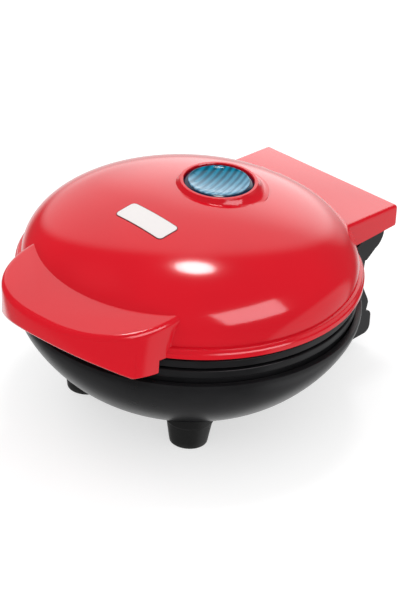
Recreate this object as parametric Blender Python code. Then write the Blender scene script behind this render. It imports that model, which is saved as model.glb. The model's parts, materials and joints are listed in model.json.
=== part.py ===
"""Mini waffle maker with a hinged lid, built as separate pieces at real size.

Units are metres and +Z is up. The handle points to -Y and the hinge lies across the back at +Y.
Outlines are drawn about the vertical axis of the dome. AXIS_SHIFT then moves every piece along Y,
so that the origin lies under the middle of the whole object, on the surface it stands on.
"""

import math

import bmesh
import bpy
from mathutils import Matrix, Vector

MM = 0.001

# Shared fits and facets
FIT = 0.3 * MM
WALL = 2.2 * MM
OVERRUN = 2.0 * MM
WELD = 0.0001 * MM
OUTER_STEPS = 44
INNER_STEPS = 28
BARREL_STEPS = 20
SHEET_STEPS = 20
SMALL_STEPS = 14
SCREW_STEPS = 8
BORE_STEPS = 8
FILLET_STEPS = 2
TUBE_SIDES_LEVEL = 1
SMOOTH_ANGLE = math.radians(35)

# Levels: the parting plane lies halfway between the lid and the base
PARTING_HEIGHT = 45.15 * MM
BAND_GAP = 1.1 * MM

# Lid cover: dome, flared rim and lip
RIM_RADIUS = 63.5 * MM
RIM_RISE = 5.25 * MM
RIM_HEIGHT = PARTING_HEIGHT + RIM_RISE
LIP_HEIGHT = 1.9 * MM
LIP_STEP = 0.45 * MM
BAND_RISE = 4.5 * MM
BAND_TOP = RIM_HEIGHT + BAND_RISE
BAND_LEAN = 0.4 * MM
DOME_INSET = 3.7 * MM
DOME_RADIUS = RIM_RADIUS - DOME_INSET
FLARE_RISE = 1.9 * MM
DOME_FOOT = BAND_TOP + FLARE_RISE
DOME_RISE = 23.7 * MM
DOME_POWER = 2.27
DOME_ROWS = 8
INNER_DOME_ROWS = 5
RIM_REBATE = 0.8 * MM
RIM_REBATE_DEPTH = 0.7 * MM

# Handle: a crescent plate that falls to the front, with a skirt that drops to the parting plane at its sides
HANDLE_HALF_WIDTH = 36.0 * MM
HANDLE_OVERHANG = 15.7 * MM
HANDLE_REACH = RIM_RADIUS + HANDLE_OVERHANG
HANDLE_ROOT_SHARE = 0.7
HANDLE_ROOT = HANDLE_ROOT_SHARE * RIM_RADIUS
HANDLE_POWER = 2.42
HANDLE_RISE = 14.4 * MM
HANDLE_TOP = RIM_HEIGHT + HANDLE_RISE
HANDLE_FALL = 3.1 * MM
HANDLE_FILLET = 2.2 * MM
HANDLE_OUTLINE_STEPS = 16
SKIRT_DROP = 5.8 * MM
SKIRT_BOTTOM = RIM_HEIGHT - SKIRT_DROP
SKIRT_CORNER_OVERHANG = 0.8 * MM
SKIRT_CORNER = RIM_RADIUS + SKIRT_CORNER_OVERHANG
SKIRT_BACK_INSET = 8.1 * MM
SKIRT_BACK = RIM_RADIUS - SKIRT_BACK_INSET
SKIRT_FRONT_RISE = 8.8 * MM
SKIRT_FRAME_GAP = 0.6 * MM
RIB_THICKNESS = 1.6 * MM
RIB_DEPTH = 3.0 * MM
RIB_PITCH = 17.0 * MM

# Hinge axis, and the lid's hinge block over it
HINGE_OVERHANG = 6.9 * MM
HINGE_REACH = RIM_RADIUS + HINGE_OVERHANG
HINGE_DROP = 1.4 * MM
HINGE_HEIGHT = RIM_HEIGHT - HINGE_DROP
BLOCK_HALF_WIDTH = 32.0 * MM
BLOCK_OVERHANG = 10.2 * MM
BLOCK_REACH = HINGE_REACH + BLOCK_OVERHANG
BLOCK_ROOT_SHARE = 0.693
BLOCK_ROOT = BLOCK_ROOT_SHARE * RIM_RADIUS
BLOCK_RISE = 11.8 * MM
BLOCK_TOP = RIM_HEIGHT + BLOCK_RISE
BLOCK_FALL = 2.6 * MM
BLOCK_LIFT = 1.0 * MM
BLOCK_BOTTOM = RIM_HEIGHT + BLOCK_LIFT
BLOCK_FILLET = 2.6 * MM
NOTCH_FRONT_INSET = 13.5 * MM
NOTCH_FRONT = RIM_RADIUS - NOTCH_FRONT_INSET
NOTCH_RISE = 5.2 * MM
NOTCH_TOP = RIM_HEIGHT + NOTCH_RISE

# Hinge barrel on the base, knuckles on the lid, and the two pins
BARREL_RADIUS = 6.6 * MM
BARREL_END_GAP = 0.8 * MM
BARREL_HALF_WIDTH = BLOCK_HALF_WIDTH - WALL - BARREL_END_GAP
NOTCH_SIDE_GAP = 0.4 * MM
NOTCH_HALF_WIDTH = BARREL_HALF_WIDTH + NOTCH_SIDE_GAP
KNUCKLE_RADIUS = 5.9 * MM
KNUCKLE_INNER = 10.0 * MM
KNUCKLE_WIDTH = 10.0 * MM
KNUCKLE_WEB = 8.6 * MM
PIN_RADIUS = 1.7 * MM
PIN_SINK = 1.6 * MM
PIN_END = BARREL_HALF_WIDTH - PIN_SINK
LEAD_CHAMBER_HALF_WIDTH = 4.5 * MM
LEAD_CHAMBER_DEPTH = 2.0 * MM

# Lens, its raised collar, the lamp holder and the lamp
LENS_REACH = 13.4 * MM
COLLAR_RISE = 1.7 * MM
COLLAR_TOP = DOME_FOOT + DOME_RISE + COLLAR_RISE
COLLAR_TOP_RADIUS = 14.2 * MM
COLLAR_HEIGHT = 2.9 * MM
COLLAR_FOOT = COLLAR_TOP - COLLAR_HEIGHT
COLLAR_FOOT_RADIUS = 16.8 * MM
COLLAR_DEPTH = 5.9 * MM
COLLAR_ROOT = COLLAR_TOP - COLLAR_DEPTH
LENS_RADIUS = 12.6 * MM
LENS_RIM_DEPTH = 0.3 * MM
LENS_RIM = COLLAR_TOP - LENS_RIM_DEPTH
LENS_CROWN = 0.8 * MM
LENS_CROWN_ROWS = 3
LENS_SEAT_DEPTH = 2.5 * MM
LENS_SEAT = COLLAR_TOP - LENS_SEAT_DEPTH
LENS_LEDGE = 1.1 * MM
LENS_FLANGE_RADIUS = LENS_RADIUS + LENS_LEDGE
LENS_FLANGE = 0.7 * MM
LENS_EDGE = 0.35 * MM
LENS_RIB_COUNT = 8
LENS_RIB_PITCH = 2.7 * MM
LENS_GROOVE = 1.1 * MM
LENS_GROOVE_DEPTH = 0.7 * MM
LENS_RIB_TURN = math.radians(14)
HOLDER_HEIGHT = 8.0 * MM
HOLDER_WALL = 1.5 * MM
HOLDER_FLOOR = 1.2 * MM
LAMP_RADIUS = 2.6 * MM
LAMP_HEIGHT = 6.0 * MM
LAMP_TIP_SHARE = 0.8

# Plate frames: the two black bands between the lid and the base
BAND_INSET = 2.0 * MM
BAND_RADIUS = RIM_RADIUS - BAND_INSET
BAND_THICKNESS = 3.0 * MM
BAND_CHAMFER = 0.5 * MM
NECK_INSET = 1.2 * MM
NECK_RADIUS = BAND_RADIUS - NECK_INSET
FRAME_DEPTH = 6.6 * MM
FRAME_WIDTH = 5.9 * MM
FRAME_INNER_RADIUS = BAND_RADIUS - FRAME_WIDTH
LEDGE_DEPTH = 1.8 * MM
FRAME_FLAT_INSET = 3.8 * MM
FRAME_FLAT = BAND_RADIUS - FRAME_FLAT_INSET

# Waffle plates: a dish with a lip, a floor and a grid of tapered posts
LIP_INSET = 4.5 * MM
LIP_RADIUS = BAND_RADIUS - LIP_INSET
LIP_WIDTH = 3.3 * MM
LIP_INNER_RADIUS = LIP_RADIUS - LIP_WIDTH
LIP_THICKNESS = 1.8 * MM
PLATE_GAP = 0.5 * MM
WALL_SPREAD = 3.1 * MM
FLOOR_RADIUS = LIP_INNER_RADIUS - WALL_SPREAD
FLOOR_DEPTH = 10.0 * MM
PLATE_THICKNESS = 2.0 * MM
DISH_BOTTOM_SPREAD = 0.4 * MM
DISH_BOTTOM_RADIUS = FLOOR_RADIUS + DISH_BOTTOM_SPREAD
POST_RING = 2.0 * MM
POST_FOOT_RADIUS = FLOOR_RADIUS - POST_RING
POST_TAPER = 1.6 * MM
POST_TOP_RADIUS = POST_FOOT_RADIUS - POST_TAPER
POST_TOP_DEPTH = 2.5 * MM
GRID_PITCH_SHARE = 0.3021
GRID_PITCH = GRID_PITCH_SHARE * POST_TOP_RADIUS
CHANNEL_COUNT = 6
CHANNEL_BOTTOM_WIDTH = 4.6 * MM
CHANNEL_TOP_WIDTH = 7.4 * MM
CHANNEL_STEP = 0.2 * MM
CHANNEL_RADIUS = (POST_FOOT_RADIUS + FLOOR_RADIUS) / 2
SCREW_POST_SHARE = 0.3937
SCREW_POST_OFFSET = SCREW_POST_SHARE * RIM_RADIUS
BOSS_RADIUS = 3.2 * MM
BOSS_BORE_RADIUS = 1.6 * MM
BOSS_SINK = 0.5 * MM

# Tubular heating elements
HEATER_TUBE_RADIUS = 3.0 * MM
HEATER_RING_SHARE = 0.46
HEATER_RING_RADIUS = HEATER_RING_SHARE * RIM_RADIUS
HEATER_OPENING = math.radians(64)
HEATER_BEND_RADIUS = 5.0 * MM
HEATER_TAIL = 5.0 * MM
HEATER_RING_STEPS = 17
HEATER_BEND_STEPS = 3

# Reflectors under and over the elements
SHEET = 0.8 * MM
REFLECTOR_RADIUS = LIP_RADIUS
REFLECTOR_RIM = 2.7 * MM
REFLECTOR_WALL_RADIUS = REFLECTOR_RADIUS - REFLECTOR_RIM
REFLECTOR_SPREAD = 6.3 * MM
REFLECTOR_FLOOR_RADIUS = REFLECTOR_WALL_RADIUS - REFLECTOR_SPREAD
REFLECTOR_DEPTH = 19.6 * MM
HEATER_HOLE_GAP = 0.6 * MM

# Screws
SHANK_RADIUS = 1.3 * MM
SCREW_HEAD_RADIUS = 2.7 * MM
SCREW_HEAD = 1.8 * MM
SCREW_HOLE_RADIUS = 1.7 * MM
COUNTERBORE_RADIUS = 3.2 * MM
COUNTERBORE_TOP = 14.0 * MM
SCREW_TIP_GAP = 0.6 * MM

# Base housing: bowl, hinge tower, rear lugs and screw posts
RECESS = 5.65 * MM
BOWL_RIM_HEIGHT = PARTING_HEIGHT - RECESS
BOWL_RIM_BAND = 1.5 * MM
BOWL_FLOOR_SHARE = 0.565
BOWL_FLOOR_RADIUS = BOWL_FLOOR_SHARE * RIM_RADIUS
BOWL_FLOOR_HEIGHT = 8.7 * MM
BOWL_POWER = 1.4
BOWL_ROWS = 7
INNER_BOWL_ROWS = 5
POST_RADIUS = 4.6 * MM
TOWER_FRONT_GAP = 0.5 * MM
TOWER_FRONT = FRAME_FLAT + TOWER_FRONT_GAP
TOWER_SHOULDER_RISE = 0.65 * MM
TOWER_SHOULDER = PARTING_HEIGHT + TOWER_SHOULDER_RISE
TOWER_WAIST_INSET = 3.6 * MM
TOWER_WAIST = HINGE_REACH - TOWER_WAIST_INSET
TOWER_WEB_DROP = 9.0 * MM
TOWER_WEB_INSET = 1.8 * MM
TOWER_WAIST_TOP = 38.8 * MM
TOWER_WAIST_BOTTOM = 29.5 * MM
TOWER_BULGE_REACH = 0.4 * MM
TOWER_BULGE = HINGE_REACH + TOWER_BULGE_REACH
TOWER_BULGE_HEIGHT = 20.5 * MM
TOWER_BULGE_HALF = 1.2 * MM
TOWER_BOTTOM = 15.6 * MM
TOWER_ROOT_DROP = 9.0 * MM
TOWER_ROOT = BOWL_RIM_HEIGHT - TOWER_ROOT_DROP
WEB_ANGLE = math.radians(40)
SLOT_FLOOR_GAP = 1.0 * MM
LEAD_SHAFT_HALF_WIDTH = 1.4 * MM
LEAD_SHAFT_WALL = 1.2 * MM
LEAD_SHAFT_FRONT = TOWER_FRONT + LEAD_SHAFT_WALL
LEAD_SHAFT_WIDTH = 3.4 * MM
LEAD_SHAFT_BACK = LEAD_SHAFT_FRONT + LEAD_SHAFT_WIDTH
LEAD_SHAFT_DROP = 7.0 * MM
LEAD_SHAFT_BOTTOM = BOWL_RIM_HEIGHT - LEAD_SHAFT_DROP
LUG_INNER = 20.0 * MM
LUG_OVERHANG = 3.2 * MM
LUG_REACH = HINGE_REACH + LUG_OVERHANG
LUG_BOTTOM = 6.4 * MM
LUG_TOP = 16.2 * MM
LUG_ROUND = 3.0 * MM
LUG_CORNER_SHARE = 0.3
LUG_ROOT_SHARE = 0.63
LUG_ROOT = LUG_ROOT_SHARE * RIM_RADIUS

# Feet
FOOT_BOTTOM_RADIUS = 6.9 * MM
FOOT_TOP_RADIUS = 8.4 * MM
FOOT_COLLAR_RADIUS = 8.9 * MM
FOOT_COLLAR_HEIGHT = 9.6 * MM
FOOT_TOP = 15.0 * MM
FOOT_CHAMFER = 0.6 * MM

# Cord gland in the back of the base
GLAND_HEIGHT = 23.5 * MM
GLAND_RADIUS = 4.6 * MM
GLAND_BORE_RADIUS = 2.8 * MM
GLAND_LIP_RADIUS = 5.8 * MM
GLAND_LIP = 1.4 * MM
GLAND_LENGTH = 14.4 * MM
GLAND_INNER_END = HINGE_REACH - GLAND_LENGTH

# Electrical parts inside
THERMOSTAT_RADIUS = 7.6 * MM
THERMOSTAT_CAP_RADIUS = 5.6 * MM
THERMOSTAT_FLANGE = 2.2 * MM
THERMOSTAT_HEIGHT = 6.8 * MM
FUSE_RADIUS = 1.9 * MM
FUSE_TIP_RADIUS = 0.9 * MM
FUSE_LENGTH = 16.0 * MM
FUSE_TIP = 2.5 * MM
FUSE_REACH = 14.0 * MM
TERMINAL_HALF_WIDTH = 11.0 * MM
TERMINAL_DEPTH = 12.0 * MM
TERMINAL_HEIGHT = 7.4 * MM
TERMINAL_REACH = 9.0 * MM
WELL_COUNT = 3
WELL_RADIUS = 2.3 * MM
WELL_DEPTH = 4.5 * MM
LEAD_RADIUS = 1.1 * MM
LEAD_SMOOTHING = 1

RED = ("gloss_red", (0.62, 0.010, 0.022, 1), 0.12, 0.0)
BLACK = ("satin_black", (0.018, 0.018, 0.019, 1), 0.38, 0.0)
RUBBER = ("foot_black", (0.012, 0.012, 0.012, 1), 0.65, 0.0)
COATED = ("coated_aluminium", (0.035, 0.034, 0.034, 1), 0.42, 0.3)
SHEATH = ("element_sheath", (0.30, 0.29, 0.28, 1), 0.38, 1.0)
BRIGHT = ("bright_aluminium", (0.78, 0.78, 0.79, 1), 0.28, 1.0)
STEEL = ("zinc_steel", (0.62, 0.62, 0.60, 1), 0.32, 1.0)
BLUE = ("lens_blue", (0.05, 0.24, 0.46, 1), 0.10, 0.0)
CERAMIC = ("white_ceramic", (0.86, 0.84, 0.80, 1), 0.35, 0.0)
LEAD = ("lead_sleeve", (0.74, 0.72, 0.66, 1), 0.55, 0.0)
LAMP = ("lamp_glass", (0.90, 0.62, 0.42, 1), 0.08, 0.0)

AXIS_SHIFT = (HANDLE_REACH - BLOCK_REACH) / 2
SCREW_PLACES = (
    ("front_left", -1, -1),
    ("front_right", 1, -1),
    ("rear_left", -1, 1),
    ("rear_right", 1, 1),
)


# Scene and materials

def clear_scene():
    for obj in list(bpy.data.objects):
        bpy.data.objects.remove(obj, do_unlink=True)


def material(finish):
    name, colour, roughness, metallic = finish
    found = bpy.data.materials.get(name)
    if found:
        return found
    made = bpy.data.materials.new(name)
    made.use_nodes = True
    shader = made.node_tree.nodes["Principled BSDF"]
    shader.inputs["Base Color"].default_value = colour
    shader.inputs["Roughness"].default_value = roughness
    shader.inputs["Metallic"].default_value = metallic
    made.diffuse_color = colour
    return made


def empty(name, place):
    made = bpy.data.objects.new(name, None)
    made.location = place
    bpy.context.scene.collection.objects.link(made)
    return made


def object_of(name, mesh, place=(0, 0, 0)):
    """An object whose mesh is drawn about the dome's axis, moved by place and by AXIS_SHIFT."""
    made = bpy.data.objects.new(name, mesh)
    made.location = Vector(place) + Vector((0, AXIS_SHIFT, 0))
    bpy.context.scene.collection.objects.link(made)
    return made


def piece(obj, finish, parent):
    """Gives a finished piece its material and hangs it on its body."""
    obj.data.materials.append(material(finish))
    obj.location -= parent.location
    obj.parent = parent
    return obj


def helper(obj):
    """Marks a solid that only cuts or joins others."""
    obj.hide_render = True
    obj.display_type = "WIRE"
    return obj


def join(target, *tools):
    combine(target, "UNION", tools)


def cut(target, *tools):
    combine(target, "DIFFERENCE", tools)


def combine(target, operation, tools):
    for tool in tools:
        modifier = target.modifiers.new(f"{operation.lower()} {tool.name}"[:60], "BOOLEAN")
        modifier.operation = operation
        modifier.solver = "EXACT"
        modifier.object = helper(tool)


# Basic solids

def finished(bm, name):
    """Closes the bmesh into a mesh with outward faces and smooth round sides."""
    bmesh.ops.remove_doubles(bm, verts=bm.verts, dist=WELD)
    bmesh.ops.recalc_face_normals(bm, faces=bm.faces)
    mesh = bpy.data.meshes.new(name)
    bm.to_mesh(mesh)
    bm.free()
    mesh.shade_smooth()
    mesh.set_sharp_from_angle(angle=SMOOTH_ANGLE)
    return mesh


def turned(name, section, steps, place=(0, 0, 0), start=0):
    """Turns a closed section of (radius, height) points about the vertical through place."""
    bm = bmesh.new()
    across, along = math.cos(start), math.sin(start)
    verts = [bm.verts.new((radius * across, radius * along, height)) for radius, height in section]
    edges = [
        bm.edges.new((one, other))
        for one, other in zip(verts, verts[1:] + verts[:1])
        if one.co.x > 0 or other.co.x > 0
    ]
    bmesh.ops.spin(
        bm, geom=verts + edges, cent=(0, 0, 0), axis=(0, 0, 1), angle=math.tau, steps=steps, use_merge=True
    )
    return object_of(name, finished(bm, name), place)


def prism(name, outline, low, high, along="Z"):
    """Extrudes an outline from low to high: along X the outline is (y, z) and along Z it is (x, y)."""
    if along == "X":
        corners = [(low, a, b) for a, b in outline]
        offset = Vector((high - low, 0, 0))
    else:
        corners = [(a, b, low) for a, b in outline]
        offset = Vector((0, 0, high - low))
    bm = bmesh.new()
    face = bm.faces.new([bm.verts.new(corner) for corner in corners])
    moved = bmesh.ops.extrude_face_region(bm, geom=[face])["geom"]
    bmesh.ops.translate(bm, vec=offset, verts=[v for v in moved if isinstance(v, bmesh.types.BMVert)])
    return object_of(name, finished(bm, name))


def box(name, x, y, z):
    """A block between the two ends given for each direction."""
    outline = [(x[0], y[0]), (x[1], y[0]), (x[1], y[1]), (x[0], y[1])]
    return prism(name, outline, z[0], z[1])


def rod(name, radius, start, end, steps=SMALL_STEPS):
    """A round bar between two points, turned so that a flat and no edge lies on top."""
    start, end = Vector(start), Vector(end)
    length = (end - start).length
    bm = bmesh.new()
    bmesh.ops.create_cone(
        bm, cap_ends=True, segments=steps, radius1=radius, radius2=radius, depth=length
    )
    half_facet = Matrix.Rotation(math.pi / steps, 4, "Z")
    turn = Vector((0, 0, 1)).rotation_difference(end - start).to_matrix().to_4x4() @ half_facet
    bmesh.ops.transform(bm, matrix=Matrix.Translation((start + end) / 2) @ turn, verts=bm.verts)
    return object_of(name, finished(bm, name))


def rounded(bm, edges, radius):
    """Rounds the given edges of the bmesh."""
    bmesh.ops.bevel(
        bm,
        geom=edges,
        offset=radius,
        segments=FILLET_STEPS,
        profile=0.5,
        affect="EDGES",
        clamp_overlap=True,
    )


def smooth_route(points, smoothing):
    """Points of a Catmull-Rom curve through the given ones."""
    points = [Vector(p) for p in points]
    padded = [points[0] * 2 - points[1]] + points + [points[-1] * 2 - points[-2]]
    route = []
    for a, b, c, d in zip(padded, padded[1:], padded[2:], padded[3:]):
        for step in range(smoothing):
            t = step / smoothing
            bend = (a * 2 - b * 5 + c * 4 - d) * t**2 + (b * 3 - a - c * 3 + d) * t**3
            route.append((b * 2 + (c - a) * t + bend) / 2)
    return route + [points[-1]]


def tube(name, route, radius):
    """A round wire or tube along a route, with flat ends."""
    curve = bpy.data.curves.new(name, "CURVE")
    curve.dimensions = "3D"
    spline = curve.splines.new("POLY")
    spline.points.add(len(route) - 1)
    for point, place in zip(spline.points, route):
        point.co = (*place, 1)
    curve.bevel_depth = radius
    curve.bevel_resolution = TUBE_SIDES_LEVEL
    curve.use_fill_caps = True
    return object_of(name, curve)


def superellipse(power, rows):
    """(cosine-like, sine-like) pairs from (1, 0) to (0, 1) on a quarter of |a|^n + |b|^n = 1."""
    pairs = []
    for row in range(rows + 1):
        angle = math.pi / 2 * row / rows
        pairs.append((max(math.cos(angle), 0) ** (2 / power), math.sin(angle) ** (2 / power)))
    pairs[-1] = (0.0, 1.0)
    return pairs


def cove(outer, inner, rows):
    """A hollow quarter round from the upper inner point out to the lower outer one."""
    points = []
    for row in range(1, rows):
        angle = math.pi / 2 * row / rows
        radius = inner[0] + (outer[0] - inner[0]) * (1 - math.cos(angle))
        height = inner[1] - (inner[1] - outer[1]) * math.sin(angle)
        points.append((radius, height))
    return points


# Lid cover

def dome_section(inset, rows):
    """Section of the dome from its top down to its foot, drawn inwards by inset."""
    return [
        ((DOME_RADIUS - inset) * a, DOME_FOOT + (DOME_RISE - inset) * b)
        for a, b in reversed(superellipse(DOME_POWER, rows))
    ]


def lid_form(name, inset, bottom):
    """The lid's outer form as a solid, drawn in by inset: dome, flare, band, stepped lip, flat underside."""
    rim = RIM_RADIUS - inset
    band = rim - LIP_STEP
    lip_top = RIM_HEIGHT + LIP_HEIGHT
    section = dome_section(inset, DOME_ROWS)
    section += cove((band - BAND_LEAN, BAND_TOP), (DOME_RADIUS - inset, DOME_FOOT), 4)
    section += [
        (band - BAND_LEAN, BAND_TOP),
        (band, lip_top + LIP_STEP),
        (rim, lip_top),
        (rim, bottom),
        (0, bottom),
    ]
    return turned(name, section, OUTER_STEPS)


def wall_form(name):
    """What the rooms in the handle and in the hinge block leave standing: the dome's own wall."""
    return lid_form(name, FIT, SKIRT_BOTTOM - 3 * OVERRUN)


def lid_inside(name):
    """What is hollow under the dome, with a wider mouth that clears the plate frames."""
    mouth = RIM_HEIGHT + RIM_REBATE_DEPTH
    section = dome_section(WALL, INNER_DOME_ROWS)
    section += cove((RIM_RADIUS - WALL, BAND_TOP - RIM_REBATE), (DOME_RADIUS - WALL, DOME_FOOT), 3)
    section += [
        (RIM_RADIUS - WALL, BAND_TOP - RIM_REBATE),
        (RIM_RADIUS - WALL, mouth + RIM_REBATE),
        (BAND_RADIUS + SKIRT_FRAME_GAP, mouth),
        (BAND_RADIUS + SKIRT_FRAME_GAP, SKIRT_BOTTOM - OVERRUN),
        (0, SKIRT_BOTTOM - OVERRUN),
    ]
    return turned(name, section, INNER_STEPS)


def handle_outline(inset, root):
    """Plan of the handle: straight into the dome at root, a flattened round at the front."""
    half = [
        ((HANDLE_HALF_WIDTH - inset) * a, -HANDLE_ROOT - (HANDLE_REACH - HANDLE_ROOT - inset) * b)
        for a, b in superellipse(HANDLE_POWER, HANDLE_OUTLINE_STEPS // 2)
    ]
    right = [(HANDLE_HALF_WIDTH - inset, -root)] + half
    return right + [(-x, y) for x, y in reversed(right[:-1])]


def lean(obj, floor):
    """Lowers what stands above floor towards the front, as the handle's top falls."""
    slope = HANDLE_FALL / (HANDLE_REACH - HANDLE_ROOT)
    for vert in obj.data.vertices:
        if vert.co.z > floor:
            vert.co.z += (vert.co.y + HANDLE_ROOT) * slope


def skirt_cutter(name):
    """Everything below the skirt's lower edge: level at the sides, rising to the front."""
    far = HANDLE_REACH + OVERRUN
    slope = SKIRT_FRONT_RISE / (HANDLE_REACH - SKIRT_CORNER)
    side = HANDLE_HALF_WIDTH + OVERRUN
    low = SKIRT_BOTTOM - 3 * OVERRUN
    outline = [
        (-far, low),
        (-NOTCH_FRONT + WALL, low),
        (-NOTCH_FRONT + WALL, RIM_HEIGHT),
        (-SKIRT_BACK, RIM_HEIGHT),
        (-SKIRT_BACK, SKIRT_BOTTOM),
        (-SKIRT_CORNER, SKIRT_BOTTOM),
        (-far, SKIRT_BOTTOM + (far - SKIRT_CORNER) * slope),
    ]
    return prism(name, outline, -side, side, along="X")


def handle_solid():
    """The handle as a solid: crescent plan, rounded top edge, and the slanted skirt edge."""
    root = HANDLE_ROOT - HANDLE_FILLET
    handle = prism("handle_form", handle_outline(0, root), SKIRT_BOTTOM - OVERRUN, HANDLE_TOP)
    lean(handle, SKIRT_BOTTOM)
    bm = bmesh.new()
    bm.from_mesh(handle.data)
    top = [
        edge
        for edge in bm.edges
        if all(v.co.z > SKIRT_BOTTOM for v in edge.verts)
        and not all(abs(v.co.y + root) < WELD for v in edge.verts)
    ]
    rounded(bm, top, HANDLE_FILLET)
    bm.to_mesh(handle.data)
    bm.free()
    cut(handle, skirt_cutter("skirt_trim"))
    return handle


def handle_hollow():
    """The room inside the handle, open below, in front of the dome's own wall."""
    hollow = prism(
        "handle_room", handle_outline(WALL, HANDLE_ROOT), SKIRT_BOTTOM - 2 * OVERRUN, HANDLE_TOP - WALL
    )
    lean(hollow, SKIRT_BOTTOM)
    cut(hollow, wall_form("handle_room_wall"))
    return hollow


def handle_ribs():
    """Three ribs under the handle's plate, from the dome's wall forward."""
    ribs = []
    for number in (-1, 0, 1):
        middle = number * RIB_PITCH
        reach = HANDLE_REACH - WALL / 2 if number == 0 else HANDLE_REACH - 2 * WALL
        rib = box(
            f"handle_rib_{number + 2}",
            (middle - RIB_THICKNESS / 2, middle + RIB_THICKNESS / 2),
            (-reach, -DOME_RADIUS + WALL / 2),
            (HANDLE_TOP - WALL - RIB_DEPTH, HANDLE_TOP - WALL / 2),
        )
        lean(rib, SKIRT_BOTTOM)
        ribs.append(rib)
    return ribs


def block_solid():
    """The hinge block: a flat top that falls a little to the back, with rounded top and back edges."""
    back_top = BLOCK_TOP - BLOCK_FALL
    outline = [
        (BLOCK_ROOT, BLOCK_BOTTOM),
        (BLOCK_REACH, BLOCK_BOTTOM),
        (BLOCK_REACH, back_top),
        (BLOCK_ROOT, BLOCK_TOP),
    ]
    block = prism("block_form", outline, -BLOCK_HALF_WIDTH, BLOCK_HALF_WIDTH, along="X")
    bm = bmesh.new()
    bm.from_mesh(block.data)

    def free(edge):
        middle = (edge.verts[0].co + edge.verts[1].co) / 2
        at_back = abs(middle.y - BLOCK_REACH) < WELD
        at_side = abs(abs(middle.x) - BLOCK_HALF_WIDTH) < WELD
        at_top = middle.z > back_top - WELD
        return (at_top and (at_back or at_side) and middle.y > BLOCK_ROOT + WELD) or (at_back and at_side)

    rounded(bm, [edge for edge in bm.edges if free(edge)], BLOCK_FILLET)
    bm.to_mesh(block.data)
    bm.free()
    return block


def block_hollow():
    """The room inside the hinge block, open below, behind the dome's own wall."""
    outline = [
        (BLOCK_ROOT + WALL, BLOCK_BOTTOM - 2 * OVERRUN),
        (BLOCK_REACH - WALL, BLOCK_BOTTOM - 2 * OVERRUN),
        (BLOCK_REACH - WALL, BLOCK_TOP - BLOCK_FALL - WALL),
        (BLOCK_ROOT + WALL, BLOCK_TOP - WALL),
    ]
    half = BLOCK_HALF_WIDTH - WALL
    hollow = prism("block_room", outline, -half, half, along="X")
    cut(hollow, wall_form("block_room_wall"))
    return hollow


def hinge_notch():
    """The gap in the lid's rim that the base's hinge barrel rises through."""
    return box(
        "hinge_notch",
        (-NOTCH_HALF_WIDTH, NOTCH_HALF_WIDTH),
        (NOTCH_FRONT, BLOCK_REACH - 2 * WALL),
        (RIM_HEIGHT - OVERRUN, NOTCH_TOP),
    )


def knuckle(side):
    """One of the lid's two hinge knuckles, hung from the block's top wall."""
    ends = sorted((side * KNUCKLE_INNER, side * (KNUCKLE_INNER + KNUCKLE_WIDTH)))
    barrel = rod(
        f"knuckle_{side}",
        KNUCKLE_RADIUS,
        (ends[0], HINGE_REACH, HINGE_HEIGHT),
        (ends[1], HINGE_REACH, HINGE_HEIGHT),
        SMALL_STEPS,
    )
    web = box(
        f"knuckle_web_{side}",
        (ends[0], ends[1]),
        (HINGE_REACH - KNUCKLE_WEB / 2, HINGE_REACH + KNUCKLE_WEB / 2),
        (HINGE_HEIGHT, BLOCK_TOP - BLOCK_FALL - WALL / 2),
    )
    join(barrel, web)
    return barrel


def pin_bore(name):
    """The hole for both pins, closed at the barrel's two ends."""
    reach = PIN_END + FIT
    axis = [(x, HINGE_REACH, HINGE_HEIGHT) for x in (-reach, reach)]
    return rod(name, PIN_RADIUS + FIT, *axis, BORE_STEPS)


def lens_place():
    return (0, LENS_REACH, 0)


def collar_solid():
    section = [
        (0, COLLAR_TOP),
        (COLLAR_TOP_RADIUS, COLLAR_TOP),
        (COLLAR_TOP_RADIUS + LENS_EDGE, COLLAR_TOP - LENS_EDGE),
        (COLLAR_FOOT_RADIUS, COLLAR_FOOT),
        (COLLAR_FOOT_RADIUS, COLLAR_ROOT),
        (0, COLLAR_ROOT),
    ]
    return turned("collar_form", section, INNER_STEPS, lens_place())


def lens_bore():
    """The stepped hole for the lens: narrow at the top, wide below for its flange and the lamp holder."""
    section = [
        (0, COLLAR_TOP + OVERRUN),
        (LENS_RADIUS + FIT, COLLAR_TOP + OVERRUN),
        (LENS_RADIUS + FIT, LENS_SEAT),
        (LENS_FLANGE_RADIUS + FIT, LENS_SEAT),
        (LENS_FLANGE_RADIUS + FIT, COLLAR_ROOT - OVERRUN),
        (0, COLLAR_ROOT - OVERRUN),
    ]
    return turned("lens_bore", section, INNER_STEPS, lens_place(), math.pi / INNER_STEPS)


def lid_lead_route():
    """The lid's lead: from the upper element over the reflector's edge, through the dome's back wall."""
    end_x, end_y = heater_end()
    tip = PARTING_HEIGHT + heater_depth() + HEATER_BEND_RADIUS + HEATER_TAIL + FIT + LEAD_RADIUS
    edge = REFLECTOR_FLOOR_RADIUS + SHEET
    back = level(1, REFLECTOR_DEPTH + SHEET)
    return [
        (end_x, end_y, tip),
        (end_x - LEAD_RADIUS, end_y + 3 * WALL, tip),
        (end_x / 2, edge - 3 * WALL, back + 3 * LEAD_RADIUS),
        (end_x / 4, edge + LEAD_RADIUS, back + LEAD_RADIUS),
        (end_x / 8, edge + 2 * WALL + FIT, DOME_FOOT + 2 * WALL),
        (0, DOME_RADIUS - 2 * WALL, DOME_FOOT + 2 * FIT),
        (0, DOME_RADIUS - WALL / 2, DOME_FOOT),
        (0, DOME_RADIUS + LEAD_RADIUS, DOME_FOOT),
        (0, HINGE_REACH - 2 * PIN_RADIUS, DOME_FOOT - 2 * FIT),
        (0, HINGE_REACH - PIN_RADIUS / 2, HINGE_HEIGHT + 2 * PIN_RADIUS - WALL / 2),
    ]


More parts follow.
